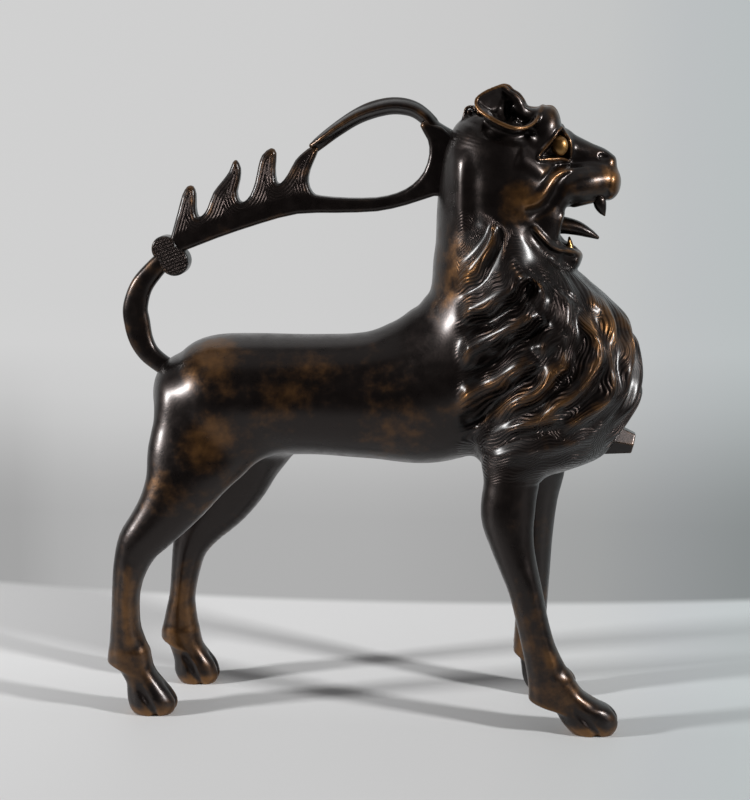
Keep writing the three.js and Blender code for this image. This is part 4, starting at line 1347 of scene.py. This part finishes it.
strap_axes = block_axes((-32, -8.5, 286), (46, 8.5, 318), (0.55, 0.55, 0.5))
make("handle_strap", strap_field, strap_axes, "dark_bronze")

# The spout: six-sided, narrowing to its mouth, bored through

SPOUT_MOUTH = np.array([133.4, 0, 143.4])
SPOUT_TURN = turned(y=12)
SPOUT_LENGTH = 20.0
SPOUT_HALF = 4.9
SPOUT_TAPER = 0.24
BORE_RADIUS = 3.5


def spout_field(points):
    """Six flat sides, two flat ends and a bore."""
    x, y, z = ((points - SPOUT_MOUTH) @ SPOUT_TURN).T
    sides = [math.radians(angle) for angle in (30, 90, 150)]
    out = np.max([np.abs(y * math.cos(a) + z * math.sin(a)) for a in sides], 0)
    out = out - (SPOUT_HALF + SPOUT_TAPER * np.maximum(-x, 0))
    out = meet(out, np.abs(x + SPOUT_LENGTH / 2) - SPOUT_LENGTH / 2, 0.8)
    return meet(out, BORE_RADIUS - np.hypot(y, z), 0.5)


make("spout", spout_field, block_axes((112, -11, 134), (136, 11, 157), 0.4), "bronze_fittings")


# Camera, stage and lights

TARGET = (1.5, 0.0, 163.0)
AZIMUTH, ELEVATION, DISTANCE = 6.0, 10.5, 950.0
PIXELS_PER_MM = 1.95
IMAGE_HEIGHT = 800
SENSOR = 36.0


def facing(way):
    """The turn of a camera or lamp that looks along a way."""
    return way.to_track_quat("-Z", "Y").to_euler()


def add_camera():
    """The camera at the photograph's angle."""
    data = bpy.data.cameras.new("camera")
    data.sensor_width = SENSOR
    data.lens = PIXELS_PER_MM * DISTANCE / IMAGE_HEIGHT * SENSOR
    data.clip_end = 100
    camera = add_object("camera", data)
    a, e = math.radians(AZIMUTH), math.radians(ELEVATION)
    back = Vector((math.sin(a) * math.cos(e), -math.cos(a) * math.cos(e), math.sin(e)))
    camera.location = Vector(to_scene(TARGET)) + back * DISTANCE * MM
    camera.rotation_euler = facing(-back)
    bpy.context.scene.camera = camera


# The lamps' aim, in metres

LAMP_AIM = Vector((0.0, 0.0, 0.17))


def softbox(name, place, size, power):
    """A rectangular lamp aimed at the lion's middle, in metres and watts."""
    data = bpy.data.lights.new(name, "AREA")
    data.shape = "RECTANGLE"
    data.size, data.size_y = size
    data.energy = power
    lamp = add_object(name, data)
    lamp.location = place
    lamp.rotation_euler = facing(LAMP_AIM - Vector(place))


class Nodes:
    """A short way to add nodes to a material or world; inputs are numbers or other nodes' outputs."""

    def __init__(self, owner):
        owner.use_nodes = True
        self.tree = owner.node_tree

    def fill(self, node, inputs, output=0):
        """A node's output, with its inputs set or linked by name or number."""
        for key, value in inputs.items():
            if isinstance(value, bpy.types.NodeSocket):
                self.tree.links.new(value, node.inputs[key])
            else:
                node.inputs[key].default_value = value
        return node.outputs[output] if node.outputs else None

    def add(self, kind, inputs, output=0, **settings):
        """A new node, filled."""
        node = self.tree.nodes.new("ShaderNode" + kind)
        for key, value in settings.items():
            setattr(node, key, value)
        return self.fill(node, inputs, output)

    def own(self, name, inputs):
        """The named node that the tree began with, filled."""
        return self.fill(self.tree.nodes[name], inputs)

    def math(self, operation, *values):
        """The outcome of a sum on numbers or outputs."""
        return self.add("Math", dict(enumerate(values)), operation=operation)

    def total(self, value, *terms):
        """A value plus others, each times its weight."""
        for term, weight in terms:
            value = self.math("MULTIPLY_ADD", term, weight, value)
        return value

    def step(self, value, low, high, to_low=0.0, to_high=1.0):
        """A value carried smoothly from one range to another."""
        inputs = {"Value": value, "From Min": low, "From Max": high, "To Min": to_low, "To Max": to_high}
        return self.add("MapRange", inputs, interpolation_type="SMOOTHSTEP")

    def spread(self, value, low, high):
        """A value carried evenly from a range to 0 to 1."""
        return self.add("MapRange", {"Value": value, "From Min": low, "From Max": high})

    def mix(self, share, a, b):
        """Colour a turned into b by a share."""
        return self.add("Mix", {0: share, 6: a, 7: b}, output=2, data_type="RGBA")

    def tint(self, a, b):
        """Two colours multiplied."""
        return self.add("Mix", {0: 1.0, 6: a, 7: b}, output=2, data_type="RGBA", blend_type="MULTIPLY")

    def value(self, name):
        """A value stored on the mesh."""
        return self.add("Attribute", {}, output=2, attribute_name=name)

    def noise(self, place, scale, detail):
        """Cloudy noise whose scale is in patches a metre."""
        return self.add("TexNoise", {"Vector": place, "Scale": scale, "Detail": detail, "Roughness": 0.55})

    def glow(self, colour):
        """Paper that gives off its own tone."""
        return self.add("Emission", {"Color": colour, "Strength": 1.0})


def grey(tone):
    """A grey or colour of 0 to 255 as the shader's linear colour."""
    channels = [tone] * 3 if isinstance(tone, (int, float)) else tone
    return (*[((c / 255 + 0.055) / 1.055) ** 2.4 for c in channels], 1.0)


# Bronze

# Noises are a scale and a detail. Each sign of wear has its weight, and the sum turns the bronze
# from dark to brown and then to gold

DARK = (0.014, 0.0092, 0.0078, 1)
BROWN = (0.15, 0.068, 0.019, 1)
GOLD = (0.38, 0.21, 0.055, 1)
PATCHES, MOTTLE, GRAIN = (26, 4), (160, 8), (900, 2)
EDGE_WEAR, RAISED_WEAR, PATCH_WEAR, MOTTLE_WEAR = 1.1, 0.4, 1.9, 1.1
BROWN_FROM, BROWN_TO = 1.7, 2.7
GOLD_FROM, GOLD_TO = 2.8, 3.8
MOTTLE_SPAN = (0.3, 0.75)
ROUGHNESS = (0.27, 0.45)
METALLIC = 0.85
COAT_WEIGHT, COAT_ROUGHNESS = 0.4, 0.25
STRAND_DEPTH = 0.00024
GRAIN_SHARE, MOTTLE_SHARE = 0.25, 0.5


def bronze(name, bare):
    """Patinated bronze, rubbed to brown and gold where it stands proud or is touched."""
    material = bpy.data.materials.new(name)
    nodes = Nodes(material)
    place = nodes.add("TexCoord", {}, output=3)
    patches, mottle, grain = (nodes.noise(place, *kind) for kind in (PATCHES, MOTTLE, GRAIN))
    worn = nodes.total(
        nodes.value("rub"), (nodes.value("edge"), EDGE_WEAR), (nodes.value("raised"), RAISED_WEAR),
        (patches, PATCH_WEAR), (mottle, MOTTLE_WEAR),
    )
    colour = nodes.mix(nodes.step(worn, BROWN_FROM - bare, BROWN_TO - bare), DARK, BROWN)
    colour = nodes.mix(nodes.step(worn, GOLD_FROM - bare, GOLD_TO - bare), colour, GOLD)
    strand, cross = (
        nodes.math("SINE", nodes.math("MULTIPLY", nodes.value(phase), 2 * math.pi))
        for phase in ("strand", "cross")
    )
    lines = nodes.math("MULTIPLY", nodes.math("ADD", strand, cross), nodes.value("hair"))
    height = nodes.total(lines, (grain, GRAIN_SHARE), (mottle, MOTTLE_SHARE))
    bump = nodes.add("Bump", {"Strength": 1.0, "Distance": STRAND_DEPTH, "Height": height})
    rough = nodes.step(mottle, *MOTTLE_SPAN, *ROUGHNESS)
    nodes.own("Principled BSDF", {
        "Base Color": colour, "Roughness": rough, "Normal": bump, "Metallic": METALLIC,
        "Coat Weight": COAT_WEIGHT, "Coat Roughness": COAT_ROUGHNESS,
    })
    return material


# The finishes and how bare each one is

FINISHES = {
    "dark_bronze": bronze("dark_bronze", 0.0),
    "bronze_fittings": bronze("bronze_fittings", 0.1),
    "bright_bronze": bronze("bright_bronze", 1.65),
}
for piece, slot in pieces:
    piece.data.materials.append(FINISHES[slot])

# The paper sweep

# The near floor takes the lamps and the shadows, and its colour also carries painted shade: darker towards
# the front
# and towards the right side. Beyond a curved line it glows with the tones of the lit paper behind, painted
# with shade:
# a band darker next to the line, darker ends at its left and right, and darker towards the right side.
# Places are in metres, tones run from 0 to 255, and a ramp is its places from 0 to 1 with their tones

LINE_AHEAD, LINE_BEND, LINE_MIDDLE = 0.184, 0.4, -0.05
LINE_END = 0.2
LINE_EDGE = 0.008
# Painted shade of the paper beyond the line: darker in a band next to it, lighter further back
FAR_SHADE_TONES = [
    (0.0, 176), (0.17, 177), (0.23, 182), (0.31, 191),
    (0.4, 199.5), (0.5, 205), (0.72, 209.5), (1.0, 208.5),
]
FAR_SPAN = (0.15, 1.6)
# Painted shade of the near floor: darker towards the front, lighter towards the line, on top of the lamps'
# own light
NEAR_SHADE_TONES = [(0.0, 200), (0.35, 208), (0.6, 222), (1.0, 232)]
NEAR_SPAN = (-0.15, 0.18)
# Painted shade towards the right side, by the share from left to right
SIDE_SHADE_TONES = [
    (0.0, 255), (0.4, 252), (0.64, 247),
    (0.8, (240, 242, 242)), (0.9, (231, 235, 237)), (1.0, (226, 233, 234)),
]
# Painted shade at the left and right ends of the paper just beyond the line, fading out further back
LOW_SHADE_TONES = [
    (0.0, 236), (0.06, 250), (0.12, 255), (0.5, 255), (0.64, 250), (0.8, 244), (0.9, 237), (1.0, 226),
]
LOW_FADE = (0.3, 1.3)
SIDE_SPAN = (-0.31, 0.1)
SIDE_FADE = (-0.6, -0.15)
OPEN_TONE = 203
BEHIND_TONE = 250
OPEN_FADE = (0.8, 2.0)
GLOSS_FADE = (0.1, 0.6)
DIM_FADE = (0.26, 0.6)
ROOM = (0.06, 0.058, 0.06, 1)
WHITE = (1, 1, 1, 1)
VIEWPOINT = (0.099, -0.929)
FLOOR_REACH = 60
FLOOR_ROUGHNESS = 0.6


def ramp(nodes, value, stops):
    """A value as a grey or colour, through stops in rising order."""
    out = nodes.add("ValToRGB", {"Fac": value})
    bar = out.node.color_ramp
    bar.elements.remove(bar.elements[1])
    for i, (place, tone) in enumerate(stops):
        element = bar.elements.new(place) if i else bar.elements[0]
        element.position = place
        element.color = grey(tone)
    return out


def side_shade(nodes, x, y, tones):
    """Painted shade from left to right, by how far a place lies to the side of the way ahead."""
    return ramp(nodes, nodes.spread(nodes.math("DIVIDE", x, y), *SIDE_SPAN), tones)


def add_stage():
    """The floor, which takes its tones and their painted shade from where a place lies on it."""
    mesh = bpy.data.meshes.new("stage_floor")
    corners = [(x * FLOOR_REACH, y * FLOOR_REACH, 0) for x, y in ((-1, -1), (1, -1), (1, 1), (-1, 1))]
    mesh.from_pydata(corners, [], [(0, 1, 2, 3)])
    floor = add_object("stage_floor", mesh)
    material = bpy.data.materials.new("stage_floor")
    nodes = Nodes(material)
    place = nodes.add("TexCoord", {}, output=3)
    x, y, _ = nodes.add("SeparateXYZ", {"Vector": place}).node.outputs
    off = nodes.math("ADD", x, -LINE_MIDDLE)
    squared = nodes.math("MINIMUM", nodes.math("MULTIPLY", off, off), LINE_END)
    line = nodes.math("MULTIPLY_ADD", squared, LINE_BEND, LINE_AHEAD)
    beyond = nodes.step(nodes.math("SUBTRACT", y, line), -LINE_EDGE, LINE_EDGE)
    way = (nodes.math("ADD", x, -VIEWPOINT[0]), nodes.math("ADD", y, -VIEWPOINT[1]))
    # Painted shade towards the right side, which gives way to a plain tone on the camera's side
    side = nodes.mix(nodes.step(y, *SIDE_FADE), grey(BEHIND_TONE), side_shade(nodes, *way, SIDE_SHADE_TONES))
    # Painted shade: the paper just beyond the line darkens at its left and right ends
    low = nodes.mix(nodes.step(y, *LOW_FADE), side_shade(nodes, *way, LOW_SHADE_TONES), WHITE)
    # The paper beyond the line glows with its tones and their painted shade
    far = nodes.tint(nodes.tint(ramp(nodes, nodes.spread(y, *FAR_SPAN), FAR_SHADE_TONES), side), low)
    # The lit near floor's colour, with its painted shade
    near = nodes.tint(ramp(nodes, nodes.spread(y, *NEAR_SPAN), NEAR_SHADE_TONES), side)
    seen = nodes.add("LightPath", {})
    away = nodes.add("VectorMath", {0: place}, output=1, operation="LENGTH")
    # For all rays but the camera's, the floor past a short reach takes the dim room's colour: painted shade
    # in the lion's reflections and bounce light
    dim = nodes.mix(nodes.step(away, *DIM_FADE), near, ROOM)
    colour = nodes.mix(seen, dim, near)
    lit = nodes.own("Principled BSDF", {"Base Color": colour, "Roughness": FLOOR_ROUGHNESS})
    clear = nodes.math("MULTIPLY", nodes.step(away, *OPEN_FADE), seen)
    open_floor = nodes.add("MixShader", {0: clear, 1: lit, 2: nodes.glow(grey(OPEN_TONE))})
    whole = nodes.add("MixShader", {0: beyond, 1: open_floor, 2: nodes.glow(far)})
    nodes.own("Material Output", {"Surface": whole})
    mesh.materials.append(material)


def add_world():
    """Paper seen by the camera, and behind the lion in its gloss too; a dim room for all else."""
    world = bpy.data.worlds.new("room")
    nodes = Nodes(world)
    rays = nodes.add("LightPath", {}).node.outputs
    x, y, _ = nodes.add("SeparateXYZ", {"Vector": nodes.add("TexCoord", {})}).node.outputs
    gloss = nodes.math("MULTIPLY", rays["Is Glossy Ray"], nodes.step(y, *GLOSS_FADE))
    seen = nodes.math("MAXIMUM", rays["Is Camera Ray"], gloss)
    # The paper's tone in the world carries the painted shade towards the right side
    tone = nodes.tint(side_shade(nodes, x, y, SIDE_SHADE_TONES), grey(FAR_SHADE_TONES[-1][1]))
    nodes.own("Background", {"Color": nodes.mix(seen, ROOM, tone)})
    bpy.context.scene.world = world


add_camera()
add_stage()
add_world()
softbox("lamp_left", (-1.21, -0.47, 0.56), (0.13, 0.13), 19)
softbox("lamp_right", (1.14, -0.51, 0.72), (0.13, 0.13), 18)
softbox("lamp_top", (0.0, 0.1, 1.8), (2.4, 2.0), 5.5)
bpy.context.scene.view_settings.view_transform = "Standard"
